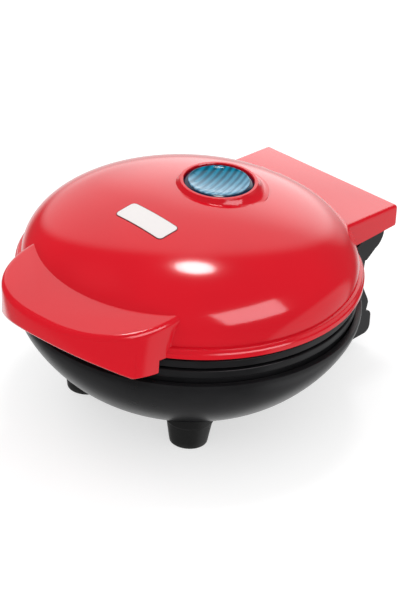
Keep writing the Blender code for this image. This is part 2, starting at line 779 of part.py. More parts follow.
def lead_hole():
    ends = [(0, y, DOME_FOOT) for y in (DOME_RADIUS - 3 * WALL, DOME_RADIUS + WALL)]
    return rod("lead_hole", LEAD_RADIUS + 2 * FIT, *ends, BORE_STEPS)


def make_lid_cover(lid):
    cover = lid_form("lid_cover", 0, RIM_HEIGHT)
    join(cover, handle_solid(), block_solid(), collar_solid())
    cut(cover, lid_inside("lid_room"), handle_hollow(), block_hollow(), hinge_notch())
    join(cover, knuckle(-1), knuckle(1), *handle_ribs())
    cut(cover, lens_bore(), pin_bore("lid_pin_bore"), lead_hole())
    piece(cover, RED, lid)


# Lens and lamp

def make_lens(lid):
    flange_top = LENS_SEAT - FIT
    bottom = flange_top - LENS_FLANGE
    face = LENS_RADIUS - LENS_EDGE
    crown = [(face * b, LENS_RIM + LENS_CROWN * a) for a, b in superellipse(2, LENS_CROWN_ROWS)]
    section = [
        (0, LENS_RIM + LENS_CROWN),
        *crown[1:],
        (LENS_RADIUS, LENS_RIM - LENS_EDGE),
        (LENS_RADIUS, flange_top),
        (LENS_FLANGE_RADIUS, flange_top),
        (LENS_FLANGE_RADIUS, bottom),
        (0, bottom),
    ]
    lens = turned("indicator_lens", section, SHEET_STEPS, lens_place())
    grooves = bmesh.new()
    for number in range(LENS_RIB_COUNT):
        offset = (number - (LENS_RIB_COUNT - 1) / 2) * LENS_RIB_PITCH
        reach = math.sqrt((LENS_RADIUS - LENS_GROOVE) ** 2 - offset**2)
        made = bmesh.ops.create_cube(grooves, size=1)["verts"]
        size = Matrix.Diagonal((LENS_GROOVE, 2 * reach, 2 * LENS_GROOVE_DEPTH, 1))
        spot = Matrix.Translation((offset, 0, bottom))
        bmesh.ops.transform(grooves, matrix=spot @ size, verts=made)
    turn = Matrix.Rotation(LENS_RIB_TURN, 3, "Z")
    bmesh.ops.rotate(grooves, cent=(0, 0, 0), matrix=turn, verts=grooves.verts)
    cut(lens, object_of("lens_grooves", finished(grooves, "lens_grooves"), lens_place()))
    piece(lens, BLUE, lid)


def holder_top():
    return LENS_SEAT - 2 * FIT - LENS_FLANGE


def make_lamp_holder(lid):
    top = holder_top()
    bottom = top - HOLDER_HEIGHT
    inner = LENS_FLANGE_RADIUS - HOLDER_WALL
    section = [
        (LENS_FLANGE_RADIUS, top),
        (LENS_FLANGE_RADIUS, bottom + HOLDER_FLOOR),
        (LENS_FLANGE_RADIUS - HOLDER_FLOOR, bottom),
        (0, bottom),
        (0, bottom + HOLDER_FLOOR),
        (inner, bottom + HOLDER_FLOOR),
        (inner, top),
    ]
    piece(turned("lamp_holder", section, SMALL_STEPS, lens_place()), CERAMIC, lid)


def make_lamp(lid):
    foot = holder_top() - HOLDER_HEIGHT + HOLDER_FLOOR + FIT
    section = [
        (0, foot + LAMP_HEIGHT),
        (LAMP_RADIUS / 2, foot + LAMP_HEIGHT * LAMP_TIP_SHARE),
        (LAMP_RADIUS, foot + LAMP_HEIGHT / 2),
        (LAMP_RADIUS, foot),
        (0, foot),
    ]
    piece(turned("indicator_lamp", section, SMALL_STEPS, lens_place()), LAMP, lid)


# Pieces that the base and the lid have alike, drawn by their depth from the parting plane

def level(side, depth):
    """Height of what lies this deep behind the parting plane: side is 1 in the lid and -1 in the base."""
    return PARTING_HEIGHT + side * depth


def mirrored(name, side, section, steps):
    """Turns a section of (radius, depth) points into the lid or the base."""
    return turned(name, [(radius, level(side, depth)) for radius, depth in section], steps)


def make_frame(name, side, body):
    """The ring whose outer edge is a black band, with a ledge behind the plate's lip."""
    near = BAND_GAP / 2
    far = near + BAND_THICKNESS
    ledge = near + LEDGE_DEPTH
    section = [
        (LIP_RADIUS + FIT, near),
        (BAND_RADIUS - BAND_CHAMFER, near),
        (BAND_RADIUS, near + BAND_CHAMFER),
        (BAND_RADIUS, far),
        (NECK_RADIUS, far),
        (NECK_RADIUS, near + FRAME_DEPTH),
        (FRAME_INNER_RADIUS, near + FRAME_DEPTH),
        (FRAME_INNER_RADIUS, ledge),
        (LIP_RADIUS + FIT, ledge),
    ]
    frame = mirrored(name, side, section, INNER_STEPS)
    reach = BAND_RADIUS + OVERRUN
    ends = sorted((level(side, 0), level(side, FRAME_DEPTH + OVERRUN)))
    cut(frame, box(f"{name}_flat", (-reach, reach), (FRAME_FLAT, reach), ends))
    piece(frame, BLACK, body)


def channel_cutter(name, side, along):
    """Parallel channels between the posts, each wider at its mouth, ending in the ring round the posts."""
    bottom = level(side, FLOOR_DEPTH - CHANNEL_STEP)
    mouth = level(side, POST_TOP_DEPTH - OVERRUN)
    flare = (CHANNEL_TOP_WIDTH - CHANNEL_BOTTOM_WIDTH) / (FLOOR_DEPTH - POST_TOP_DEPTH)
    mouth_width = CHANNEL_TOP_WIDTH + flare * OVERRUN
    bm = bmesh.new()
    for number in range(CHANNEL_COUNT):
        middle = (number - (CHANNEL_COUNT - 1) / 2) * GRID_PITCH
        corners = [
            (middle - CHANNEL_BOTTOM_WIDTH / 2, bottom),
            (middle + CHANNEL_BOTTOM_WIDTH / 2, bottom),
            (middle + mouth_width / 2, mouth),
            (middle - mouth_width / 2, mouth),
        ]
        ends = [
            [bm.verts.new((a, end, h) if along == "Y" else (end, a, h)) for a, h in corners]
            for end in (-DOME_RADIUS, DOME_RADIUS)
        ]
        bm.faces.new(ends[0])
        bm.faces.new(ends[1])
        for index in range(4):
            after = (index + 1) % 4
            bm.faces.new((ends[0][index], ends[0][after], ends[1][after], ends[1][index]))
    cutter = object_of(name, finished(bm, name))
    ends = sorted((level(side, 0), level(side, FLOOR_DEPTH + OVERRUN)))
    disc = [(0, ends[1]), (CHANNEL_RADIUS, ends[1]), (CHANNEL_RADIUS, ends[0]), (0, ends[0])]
    combine(cutter, "INTERSECT", [turned(f"{name}_disc", disc, SHEET_STEPS)])
    return cutter


def make_plate(name, side, body):
    """The waffle plate: lip, sloped wall, a grid of tapered posts, and four screw bosses behind."""
    near = PLATE_GAP / 2
    underside = FLOOR_DEPTH + PLATE_THICKNESS
    section = [
        (0, POST_TOP_DEPTH),
        (POST_TOP_RADIUS, POST_TOP_DEPTH),
        (POST_FOOT_RADIUS, FLOOR_DEPTH),
        (FLOOR_RADIUS, FLOOR_DEPTH),
        (LIP_INNER_RADIUS, near),
        (LIP_RADIUS, near),
        (LIP_RADIUS, near + LIP_THICKNESS),
        (FRAME_INNER_RADIUS - 2 * FIT, near + LIP_THICKNESS),
        (DISH_BOTTOM_RADIUS, underside),
        (0, underside),
    ]
    plate = mirrored(name, side, section, INNER_STEPS)
    for along in "XY":
        cut(plate, channel_cutter(f"{name}_channels_{along}", side, along))
    boss_end = REFLECTOR_DEPTH - FIT
    for place, x, y in SCREW_PLACES:
        at = (x * SCREW_POST_OFFSET, y * SCREW_POST_OFFSET)
        boss = rod(
            f"{name}_boss_{place}",
            BOSS_RADIUS,
            (*at, level(side, underside - BOSS_SINK)),
            (*at, level(side, boss_end)),
            SCREW_STEPS,
        )
        join(plate, boss)
    for place, x, y in SCREW_PLACES:
        at = (x * SCREW_POST_OFFSET, y * SCREW_POST_OFFSET)
        bore = rod(
            f"{name}_bore_{place}",
            BOSS_BORE_RADIUS,
            (*at, level(side, underside + FIT)),
            (*at, level(side, boss_end + OVERRUN)),
            BORE_STEPS,
        )
        cut(plate, bore)
    piece(plate, COATED, body)


def heater_depth():
    return FLOOR_DEPTH + PLATE_THICKNESS + FIT + HEATER_TUBE_RADIUS


def heater_end():
    """Plan place of the element's right end, where it has bent away from the plate."""
    angle = math.pi / 2 - HEATER_OPENING / 2
    x = HEATER_RING_RADIUS * math.cos(angle) - HEATER_BEND_RADIUS * math.sin(angle)
    y = HEATER_RING_RADIUS * math.sin(angle) + HEATER_BEND_RADIUS * math.cos(angle)
    return x, y


def make_heater(name, side, body):
    """A ring of sheathed tube behind the plate, open at the back, with both ends bent away from it."""
    depth = heater_depth()
    half = []
    start = math.pi / 2 - HEATER_OPENING / 2
    last = HEATER_RING_STEPS // 2
    for step in range(last + 1):
        angle = -math.pi / 2 + (start + math.pi / 2) * step / last
        half.append((HEATER_RING_RADIUS * math.cos(angle), HEATER_RING_RADIUS * math.sin(angle), depth))
    edge_x, edge_y, _ = half[-1]
    for step in range(1, HEATER_BEND_STEPS + 1):
        turn = math.pi / 2 * step / HEATER_BEND_STEPS
        along = HEATER_BEND_RADIUS * math.sin(turn)
        half.append(
            (
                edge_x - along * math.sin(start),
                edge_y + along * math.cos(start),
                depth + HEATER_BEND_RADIUS * (1 - math.cos(turn)),
            )
        )
    end_x, end_y, end_depth = half[-1]
    half.append((end_x, end_y, end_depth + HEATER_TAIL))
    route = [(-x, y, d) for x, y, d in reversed(half[1:])] + half
    piece(tube(name, [(x, y, level(side, d)) for x, y, d in route], HEATER_TUBE_RADIUS), SHEATH, body)


def make_reflector(name, side, body):
    """The pressed sheet dish behind the element, with holes for its ends and for the screws."""
    near = BAND_GAP / 2 + FRAME_DEPTH + FIT
    section = [
        (0, REFLECTOR_DEPTH),
        (REFLECTOR_FLOOR_RADIUS, REFLECTOR_DEPTH),
        (REFLECTOR_WALL_RADIUS, near),
        (REFLECTOR_RADIUS, near),
        (REFLECTOR_RADIUS, near + SHEET),
        (REFLECTOR_WALL_RADIUS + SHEET, near + SHEET),
        (REFLECTOR_FLOOR_RADIUS + SHEET, REFLECTOR_DEPTH + SHEET),
        (0, REFLECTOR_DEPTH + SHEET),
    ]
    reflector = mirrored(name, side, section, SHEET_STEPS)
    end_x, end_y = heater_end()
    post = SCREW_POST_OFFSET
    holes = [(f"end_{n}", n * end_x, end_y, HEATER_TUBE_RADIUS + HEATER_HOLE_GAP) for n in (-1, 1)]
    holes += [(name, x * post, y * post, SCREW_HOLE_RADIUS) for name, x, y in SCREW_PLACES]
    for place, x, y, radius in holes:
        through = [(x, y, level(side, REFLECTOR_DEPTH + d)) for d in (-OVERRUN, OVERRUN + SHEET)]
        cut(reflector, rod(f"{name}_hole_{place}", radius, *through, SCREW_STEPS))
    piece(reflector, BRIGHT, body)


def make_screw(name, place, head_far, head_near, tip, body):
    """A screw with a flat-topped head between two heights and its shank to the tip."""
    section = [
        (0, head_far),
        (SCREW_HEAD_RADIUS - FIT, head_far),
        (SCREW_HEAD_RADIUS, head_near),
        (SHANK_RADIUS, head_near),
        (SHANK_RADIUS, tip),
        (0, tip),
    ]
    piece(turned(name, section, SCREW_STEPS, place), STEEL, body)


def make_screws(base, lid):
    """Four screws each for the lower plate, through the housing's posts, and for the upper plate."""
    tip = FLOOR_DEPTH + PLATE_THICKNESS + SCREW_TIP_GAP
    base_head = COUNTERBORE_TOP - FIT
    lid_head = level(1, REFLECTOR_DEPTH + SHEET + FIT)
    for name, x, y in SCREW_PLACES:
        place = (x * SCREW_POST_OFFSET, y * SCREW_POST_OFFSET, 0)
        make_screw(f"base_screw_{name}", place, base_head - SCREW_HEAD, base_head, level(-1, tip), base)
        make_screw(f"upper_plate_screw_{name}", place, lid_head + SCREW_HEAD, lid_head, level(1, tip), lid)


# Base housing and feet

def bowl_form(name, grow):
    """The bowl's outer form as a solid, grown by a clearance."""
    rise = BOWL_RIM_HEIGHT - BOWL_RIM_BAND - BOWL_FLOOR_HEIGHT + grow
    across = RIM_RADIUS - BOWL_FLOOR_RADIUS + grow
    section = [
        (BOWL_FLOOR_RADIUS + across * a, BOWL_RIM_HEIGHT - BOWL_RIM_BAND - rise * b)
        for a, b in superellipse(BOWL_POWER, BOWL_ROWS)
    ]
    section = [(0, BOWL_RIM_HEIGHT), (RIM_RADIUS + grow, BOWL_RIM_HEIGHT)] + section
    section.append((0, BOWL_FLOOR_HEIGHT - grow))
    return turned(name, section, OUTER_STEPS)


def bowl_inside(name):
    rise = BOWL_RIM_HEIGHT - BOWL_RIM_BAND - BOWL_FLOOR_HEIGHT - WALL
    across = RIM_RADIUS - BOWL_FLOOR_RADIUS - WALL
    section = [
        (BOWL_FLOOR_RADIUS + across * a, BOWL_RIM_HEIGHT - BOWL_RIM_BAND - rise * b)
        for a, b in superellipse(BOWL_POWER, INNER_BOWL_ROWS)
    ]
    top = BOWL_RIM_HEIGHT + OVERRUN / 2
    section = [(0, top), (RIM_RADIUS - WALL, top)] + section + [(0, BOWL_FLOOR_HEIGHT + WALL)]
    return turned(name, section, INNER_STEPS)


def tower_solid():
    """The hinge tower behind the bowl: waist, lower bulge and a web up into the barrel."""
    web_reach = BARREL_RADIUS * math.cos(WEB_ANGLE)
    web_drop = BARREL_RADIUS * math.sin(WEB_ANGLE)
    outline = [
        (TOWER_FRONT, TOWER_ROOT),
        (TOWER_FRONT, TOWER_SHOULDER),
        (HINGE_REACH - BARREL_RADIUS + FIT, HINGE_HEIGHT - FIT),
        (HINGE_REACH, HINGE_HEIGHT),
        (HINGE_REACH + web_reach, HINGE_HEIGHT - web_drop),
        (HINGE_REACH - TOWER_WEB_INSET, HINGE_HEIGHT - TOWER_WEB_DROP),
        (TOWER_WAIST, TOWER_WAIST_TOP),
        (TOWER_WAIST, TOWER_WAIST_BOTTOM),
        (TOWER_BULGE - FIT, TOWER_BULGE_HEIGHT + TOWER_BULGE_HALF),
        (TOWER_BULGE, TOWER_BULGE_HEIGHT - TOWER_BULGE_HALF),
        (TOWER_BULGE - WALL / 2, TOWER_BOTTOM),
        (LUG_ROOT, TOWER_BOTTOM - WALL),
        (LUG_ROOT - WALL * 2, TOWER_BOTTOM),
    ]
    return prism("tower_form", outline, -BARREL_HALF_WIDTH, BARREL_HALF_WIDTH, along="X")


def barrel_solid():
    ends = [(x, HINGE_REACH, HINGE_HEIGHT) for x in (-BARREL_HALF_WIDTH, BARREL_HALF_WIDTH)]
    return rod("barrel_form", BARREL_RADIUS, *ends, BARREL_STEPS)


def lug_solid(side):
    """A rounded lug low on the back of the bowl, under the tower's end."""
    reach, bottom, top, edge = LUG_REACH, LUG_BOTTOM, LUG_TOP, LUG_ROUND
    outline = [
        (LUG_ROOT, top),
        (LUG_ROOT, bottom + 2 * edge),
        (reach - 4 * edge, bottom),
        (reach - edge, bottom),
        (reach - edge * LUG_CORNER_SHARE, bottom + edge * LUG_CORNER_SHARE),
        (reach, bottom + edge),
        (reach, top - edge),
        (reach - edge * LUG_CORNER_SHARE, top - edge * LUG_CORNER_SHARE),
        (reach - edge, top),
    ]
    ends = sorted((side * LUG_INNER, side * (BARREL_HALF_WIDTH - FIT)))
    return prism(f"lug_{side}", outline, *ends, along="X")


def knuckle_slot(side):
    """The gap in the barrel that a lid knuckle turns in."""
    ends = sorted((side * (KNUCKLE_INNER - FIT), side * (KNUCKLE_INNER + KNUCKLE_WIDTH + FIT)))
    front = HINGE_REACH - KNUCKLE_RADIUS - 2 * FIT
    floor = HINGE_HEIGHT - KNUCKLE_RADIUS - SLOT_FLOOR_GAP
    high = HINGE_HEIGHT + BARREL_RADIUS + OVERRUN
    return box(f"knuckle_slot_{side}", ends, (front, BLOCK_REACH), (floor, high))


def lead_chamber():
    """The room in the middle of the barrel where the lid's lead turns."""
    half = LEAD_CHAMBER_HALF_WIDTH
    return box(
        "lead_chamber",
        (-half, half),
        (TOWER_FRONT - OVERRUN, HINGE_REACH + BARREL_RADIUS + OVERRUN),
        (HINGE_HEIGHT - LEAD_CHAMBER_DEPTH, HINGE_HEIGHT + BARREL_RADIUS + OVERRUN),
    )


def lead_shaft():
    """The way up the tower for the base's lead."""
    half = LEAD_SHAFT_HALF_WIDTH
    top = HINGE_HEIGHT - LEAD_CHAMBER_DEPTH + OVERRUN / 2
    return box("lead_shaft", (-half, half), (LEAD_SHAFT_FRONT, LEAD_SHAFT_BACK), (LEAD_SHAFT_BOTTOM, top))


def screw_post(name, x, y):
    """A post from the bowl's floor to just under the reflector."""
    at = (x * SCREW_POST_OFFSET, y * SCREW_POST_OFFSET)
    top = level(-1, REFLECTOR_DEPTH + SHEET + FIT)
    return rod(f"post_{name}", POST_RADIUS, (*at, BOWL_FLOOR_HEIGHT + WALL - FIT), (*at, top))


def screw_bore(name, x, y):
    """The counterbored hole through a post: wide under its shoulder for the head, narrow above."""
    section = [
        (0, level(-1, REFLECTOR_DEPTH - OVERRUN)),
        (SCREW_HOLE_RADIUS, level(-1, REFLECTOR_DEPTH - OVERRUN)),
        (SCREW_HOLE_RADIUS, COUNTERBORE_TOP),
        (COUNTERBORE_RADIUS, COUNTERBORE_TOP),
        (COUNTERBORE_RADIUS, 0),
        (0, 0),
    ]
    place = (x * SCREW_POST_OFFSET, y * SCREW_POST_OFFSET, 0)
    return turned(f"post_bore_{name}", section, SCREW_STEPS, place)


def gland_hole():
    ends = [(0, y, GLAND_HEIGHT) for y in (GLAND_INNER_END - 3 * OVERRUN, TOWER_BULGE + OVERRUN)]
    return rod("gland_hole", GLAND_RADIUS + FIT, *ends, SMALL_STEPS)


def make_base_housing(base):
    housing = bowl_form("base_housing", 0)
    join(housing, tower_solid(), lug_solid(-1), lug_solid(1), barrel_solid())
    cut(housing, bowl_inside("bowl_room"), knuckle_slot(-1), knuckle_slot(1), lead_chamber(), lead_shaft())
    join(housing, *[screw_post(*place) for place in SCREW_PLACES])
    cut(housing, *[screw_bore(*place) for place in SCREW_PLACES])
    cut(housing, pin_bore("base_pin_bore"), gland_hole())
    piece(housing, BLACK, base)


def make_feet(base):
    """Four tapered feet whose tops follow the bowl."""
    section = [
        (0, FOOT_TOP),
        (FOOT_COLLAR_RADIUS, FOOT_TOP),
        (FOOT_COLLAR_RADIUS, FOOT_COLLAR_HEIGHT),
        (FOOT_TOP_RADIUS, FOOT_COLLAR_HEIGHT - FOOT_CHAMFER),
        (FOOT_BOTTOM_RADIUS, FOOT_CHAMFER),
        (FOOT_BOTTOM_RADIUS - FOOT_CHAMFER, 0),
        (0, 0),
    ]
    for name, x, y in SCREW_PLACES:
        place = (x * SCREW_POST_OFFSET, y * SCREW_POST_OFFSET, 0)
        foot = turned(f"foot_{name}", section, SMALL_STEPS, place)
        cut(foot, bowl_form(f"bowl_seat_{name}", FIT))
        piece(foot, RUBBER, base)


def make_hinge_pins(base):
    inner = LEAD_CHAMBER_HALF_WIDTH + FIT
    for name, side in (("left", -1), ("right", 1)):
        ends = [(side * x, HINGE_REACH, HINGE_HEIGHT) for x in (inner, PIN_END)]
        piece(rod(f"hinge_pin_{name}", PIN_RADIUS, *ends, SMALL_STEPS), STEEL, base)


# Electrical parts

def make_gland(base):
    """The bush that the cord would leave by, with its lip outside the tower."""
    lip = TOWER_BULGE + 2 * FIT
    section = [
        (GLAND_BORE_RADIUS, GLAND_INNER_END),
        (GLAND_RADIUS, GLAND_INNER_END),
        (GLAND_RADIUS, lip),
        (GLAND_LIP_RADIUS, lip),
        (GLAND_LIP_RADIUS - FIT, lip + GLAND_LIP),
        (GLAND_BORE_RADIUS, lip + GLAND_LIP),
    ]
    gland = turned("cord_gland", section, SMALL_STEPS)
    gland.data.transform(Matrix.Rotation(-math.pi / 2, 4, "X"))
    gland.data.transform(Matrix.Translation((0, 0, GLAND_HEIGHT)))
    piece(gland, RUBBER, base)


def make_thermostat(base):
    top = level(-1, FLOOR_DEPTH + PLATE_THICKNESS + FIT)
    section = [
        (0, top),
        (THERMOSTAT_RADIUS, top),
        (THERMOSTAT_RADIUS, top - THERMOSTAT_FLANGE),
        (THERMOSTAT_CAP_RADIUS, top - THERMOSTAT_FLANGE),
        (THERMOSTAT_CAP_RADIUS, top - THERMOSTAT_HEIGHT),
        (0, top - THERMOSTAT_HEIGHT),
    ]
    piece(turned("thermostat", section, SMALL_STEPS), CERAMIC, base)


def make_thermal_fuse(base):
    """A sleeved fuse that lies against the back of the lower reflector."""
    half = FUSE_LENGTH / 2
    section = [
        (0, -half - FUSE_TIP),
        (FUSE_TIP_RADIUS, -half - FUSE_TIP),
        (FUSE_TIP_RADIUS, -half),
        (FUSE_RADIUS, -half),
        (FUSE_RADIUS, half),
        (FUSE_TIP_RADIUS, half),
        (FUSE_TIP_RADIUS, half + FUSE_TIP),
        (0, half + FUSE_TIP),
    ]
    fuse = turned("thermal_fuse", section, SCREW_STEPS)
    height = level(-1, REFLECTOR_DEPTH + SHEET + FIT + FUSE_RADIUS)
    fuse.data.transform(Matrix.Rotation(math.pi / 2, 4, "Y"))
    fuse.data.transform(Matrix.Translation((0, -FUSE_REACH, height)))
    piece(fuse, CERAMIC, base)


def terminal_floor():
    return BOWL_FLOOR_HEIGHT + WALL + FIT


def make_terminal_block(base):
    """A ceramic block with three screw wells on the bowl's floor."""
    floor = terminal_floor()
    half = TERMINAL_HALF_WIDTH
    block = box(
        "terminal_block",
        (-half, half),
        (TERMINAL_REACH - TERMINAL_DEPTH / 2, TERMINAL_REACH + TERMINAL_DEPTH / 2),
        (floor, floor + TERMINAL_HEIGHT),
    )
    pitch = 2 * half / WELL_COUNT
    for number in range(WELL_COUNT):
        x = (number - (WELL_COUNT - 1) / 2) * pitch
        top = floor + TERMINAL_HEIGHT
        ends = [(x, TERMINAL_REACH, top - WELL_DEPTH), (x, TERMINAL_REACH, top + OVERRUN)]
        cut(block, rod(f"terminal_well_{number}", WELL_RADIUS, *ends, BORE_STEPS))
    piece(block, CERAMIC, base)


def make_leads(base, lid):
    """Short leads: from the terminal block to the lower element and up the tower, and from the hinge on."""
    floor = terminal_floor()
    middle = floor + TERMINAL_HEIGHT / 2
    block_back = TERMINAL_REACH + TERMINAL_DEPTH / 2
    end_x, end_y = heater_end()
    heater_tip = heater_depth() + HEATER_BEND_RADIUS + HEATER_TAIL + FIT + LEAD_RADIUS
    shaft = (LEAD_SHAFT_FRONT + LEAD_SHAFT_BACK) / 2
    under = level(-1, REFLECTOR_DEPTH + SHEET + FIT)
    base_route = [
        (0, block_back + FIT, middle),
        (0, block_back + 4 * WALL, middle),
        (0, BOWL_FLOOR_RADIUS, middle + WALL / 2),
        (0, REFLECTOR_FLOOR_RADIUS - WALL, under - LEAD_RADIUS - 2 * FIT - WALL / 2),
        (0, REFLECTOR_FLOOR_RADIUS + WALL, under - LEAD_RADIUS - FIT),
        (0, REFLECTOR_WALL_RADIUS - 2 * FIT, LEAD_SHAFT_BOTTOM - 3 * LEAD_RADIUS - FIT),
        (0, LEAD_SHAFT_FRONT - 3 * LEAD_RADIUS, LEAD_SHAFT_BOTTOM + FIT),
        (0, LEAD_SHAFT_FRONT - LEAD_RADIUS, LEAD_SHAFT_BOTTOM + WALL + FIT),
        (0, shaft, BOWL_RIM_HEIGHT),
        (0, shaft, TOWER_SHOULDER),
        (0, shaft, HINGE_HEIGHT),
    ]
    piece(lead("base_lead", base_route), LEAD, base)
    for name, side in (("left", -1), ("right", 1)):
        edge = TERMINAL_HALF_WIDTH + 2 * FIT
        route = [
            (side * end_x, end_y, level(-1, heater_tip)),
            (side * (end_x + WALL), end_y - WALL, level(-1, heater_tip) - WALL / 2),
            (side * (edge + 2 * WALL), block_back, middle + FIT),
            (side * (edge + WALL), TERMINAL_REACH, middle),
            (side * edge, TERMINAL_REACH, middle),
        ]
        piece(lead(f"lower_lead_{name}", route), LEAD, base)
    piece(lead("lid_lead", lid_lead_route()), LEAD, lid)
    under = holder_top() - HOLDER_HEIGHT - FIT - LEAD_RADIUS
    tip = level(1, heater_tip)
    lamp_route = [
        (-LAMP_RADIUS, LENS_REACH, under),
        (-end_x + WALL, LENS_REACH + 2 * WALL, under),
        (-end_x - 2 * WALL, end_y - 3 * WALL, under + FIT),
        (-end_x - 2 * WALL, end_y - FIT, tip),
        (-end_x, end_y, tip),
    ]
    piece(lead("lamp_lead", lamp_route), LEAD, lid)


def lead(name, route):
    return tube(name, smooth_route(route, LEAD_SMOOTHING), LEAD_RADIUS)


def main():
    clear_scene()
    base = empty("base", (0, 0, 0))
    lid = empty("lid", (0, HINGE_REACH + AXIS_SHIFT, HINGE_HEIGHT))
    make_base_housing(base)
    make_feet(base)
    make_hinge_pins(base)
    for prefix, side, body in (("lower", -1, base), ("upper", 1, lid)):
        make_frame("lid_frame" if side > 0 else "base_frame", side, body)
        make_plate(f"{prefix}_plate", side, body)
        make_heater(f"{prefix}_heater", side, body)
        make_reflector(f"{prefix}_reflector", side, body)
    make_screws(base, lid)
    make_gland(base)
    make_thermostat(base)
    make_thermal_fuse(base)
    make_terminal_block(base)
    make_leads(base, lid)
    make_lid_cover(lid)
    make_lens(lid)
    make_lamp_holder(lid)
    make_lamp(lid)


main()
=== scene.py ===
"""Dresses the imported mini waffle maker: mouldings, cast plates, ribbed lens, finishes and studio."""

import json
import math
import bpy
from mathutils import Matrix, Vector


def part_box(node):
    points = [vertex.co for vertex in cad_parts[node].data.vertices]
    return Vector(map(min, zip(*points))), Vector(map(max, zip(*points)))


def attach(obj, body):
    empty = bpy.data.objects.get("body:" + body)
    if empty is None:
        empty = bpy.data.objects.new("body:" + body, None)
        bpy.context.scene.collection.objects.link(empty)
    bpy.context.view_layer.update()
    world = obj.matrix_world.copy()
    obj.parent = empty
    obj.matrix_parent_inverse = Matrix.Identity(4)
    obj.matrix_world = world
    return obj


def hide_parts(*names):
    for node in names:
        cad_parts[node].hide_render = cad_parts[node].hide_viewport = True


bl_info = {
    "name": "Mini waffle maker dressing",
    "version": (1, 0, 0),
    "blender": (4, 5, 0),
    "location": "3D View > Sidebar > Waffle maker",
    "description": "Builds the visible mouldings, plates and finishes around the packed model",
    "category": "Object",
}

from functools import cache

import bmesh
import bpy
from bpy.props import FloatProperty, FloatVectorProperty, IntProperty, PointerProperty
from mathutils import Matrix, Vector

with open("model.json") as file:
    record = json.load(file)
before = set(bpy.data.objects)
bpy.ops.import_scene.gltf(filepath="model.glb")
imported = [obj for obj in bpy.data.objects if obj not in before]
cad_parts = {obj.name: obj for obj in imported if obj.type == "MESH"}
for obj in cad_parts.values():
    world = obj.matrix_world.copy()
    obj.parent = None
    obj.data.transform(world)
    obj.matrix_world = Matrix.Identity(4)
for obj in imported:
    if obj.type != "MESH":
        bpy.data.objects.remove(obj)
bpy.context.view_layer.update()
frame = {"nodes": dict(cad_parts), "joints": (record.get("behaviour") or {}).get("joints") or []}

MM = 0.001

# Places read from the frame
HINGE = Vector(frame["joints"][0]["pos_m"])
PLATE_LOW, PLATE_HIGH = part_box("lower_plate")
AXIS_Y = (PLATE_LOW.y + PLATE_HIGH.y) / 2
LENS_LOW, LENS_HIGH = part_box("indicator_lens")
LENS_REACH = (LENS_LOW.y + LENS_HIGH.y) / 2 - AXIS_Y
COVER_LOW, COVER_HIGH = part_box("lid_cover")
BAND_LOW, BAND_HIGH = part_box("lid_frame")
BASE_BAND_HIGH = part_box("base_frame")[1]
PARTING = (BASE_BAND_HIGH.z + BAND_LOW.z) / 2
BAND_GAP = BAND_LOW.z - BASE_BAND_HIGH.z
FRAME_DEPTH = BAND_HIGH.z - BAND_LOW.z
BAND_RADIUS = BAND_HIGH.x
LIP_RADIUS = PLATE_HIGH.x
RIM_RADIUS = COVER_HIGH.x
HANDLE_REACH = AXIS_Y - COVER_LOW.y
BLOCK_REACH = COVER_HIGH.y - AXIS_Y
HINGE_REACH = HINGE.y - AXIS_Y
FOOT_LOW, FOOT_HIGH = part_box("foot_front_right")
FOOT_OFFSET = (FOOT_LOW.x + FOOT_HIGH.x) / 2

# Facets, fits and walls
FINE_STEPS = 192
PLATE_STEPS = 120
ROUND_STEPS = 96
SMALL_STEPS = 48
PIN_STEPS = 24
SWEEP_STEPS = 8
FILLET_STEPS = 7
TOWER_STEPS = 6
CORNER_STEPS = 4
DOME_ROWS = 72
BOWL_ROWS = 40
HANDLE_ROWS = 36
DOME_INNER_ROWS = 24
BOWL_INNER_ROWS = 16
LENS_ROWS = 24
SMOOTH_ANGLE = math.radians(32)
STRAIGHT_ANGLE = math.radians(165)
CORNER_SHARE = 0.45
WELD = 0.0001 * MM
FIT = 0.3 * MM
WALL = 2.2 * MM
OVERRUN = 2.0 * MM

# Lid cover
RIM_HEIGHT = PARTING + 5.25 * MM
LIP_HEIGHT = 1.9 * MM
LIP_STEP = 0.45 * MM
BAND_TOP = RIM_HEIGHT + 4.5 * MM
BAND_LEAN = 0.4 * MM
DOME_RADIUS = RIM_RADIUS - 2.0 * MM
DOME_FOOT = BAND_TOP - 0.6 * MM
DOME_RISE = 26.2 * MM
DOME_POWER = 2.2
LEDGE_DROP = 0.3 * MM
RIM_REBATE = 0.8 * MM
MOUTH_RISE = 0.7 * MM
HANDLE_HALF_WIDTH = 36.0 * MM
HANDLE_ROOT = 44.45 * MM
HANDLE_POWER = 2.42
HANDLE_TOP = RIM_HEIGHT + 14.4 * MM
HANDLE_FALL = 3.1 * MM
HANDLE_FILLET = 2.2 * MM
SKIRT_BOTTOM = RIM_HEIGHT - 5.8 * MM
SKIRT_CORNER = RIM_RADIUS + 0.8 * MM
SKIRT_BACK = RIM_RADIUS - 8.1 * MM
SKIRT_FRONT_RISE = 8.8 * MM
SKIRT_LEAN = 1.2 * MM
SKIRT_SPREAD = 1.6
SKIRT_ROUND = 1.2 * MM
LOOKS_DOWN = -0.5
LOOKS_BACK = 0.5
UPRIGHT = 0.45
RIB_THICKNESS = 1.6 * MM
RIB_DEPTH = 3.0 * MM
RIB_PITCH = 17.0 * MM
BLOCK_HALF_WIDTH = 32.0 * MM
BLOCK_ROOT = 44.0 * MM
BLOCK_TOP = RIM_HEIGHT + 11.8 * MM
BLOCK_FALL = 2.6 * MM
BLOCK_BOTTOM = RIM_HEIGHT + 1.0 * MM
BLOCK_FILLET = 2.6 * MM
BLOCK_UNDERCUT = 1.4 * MM
NOTCH_HALF_WIDTH = 29.4 * MM
NOTCH_FRONT = RIM_RADIUS - 13.5 * MM
NOTCH_TOP = RIM_HEIGHT + 5.2 * MM
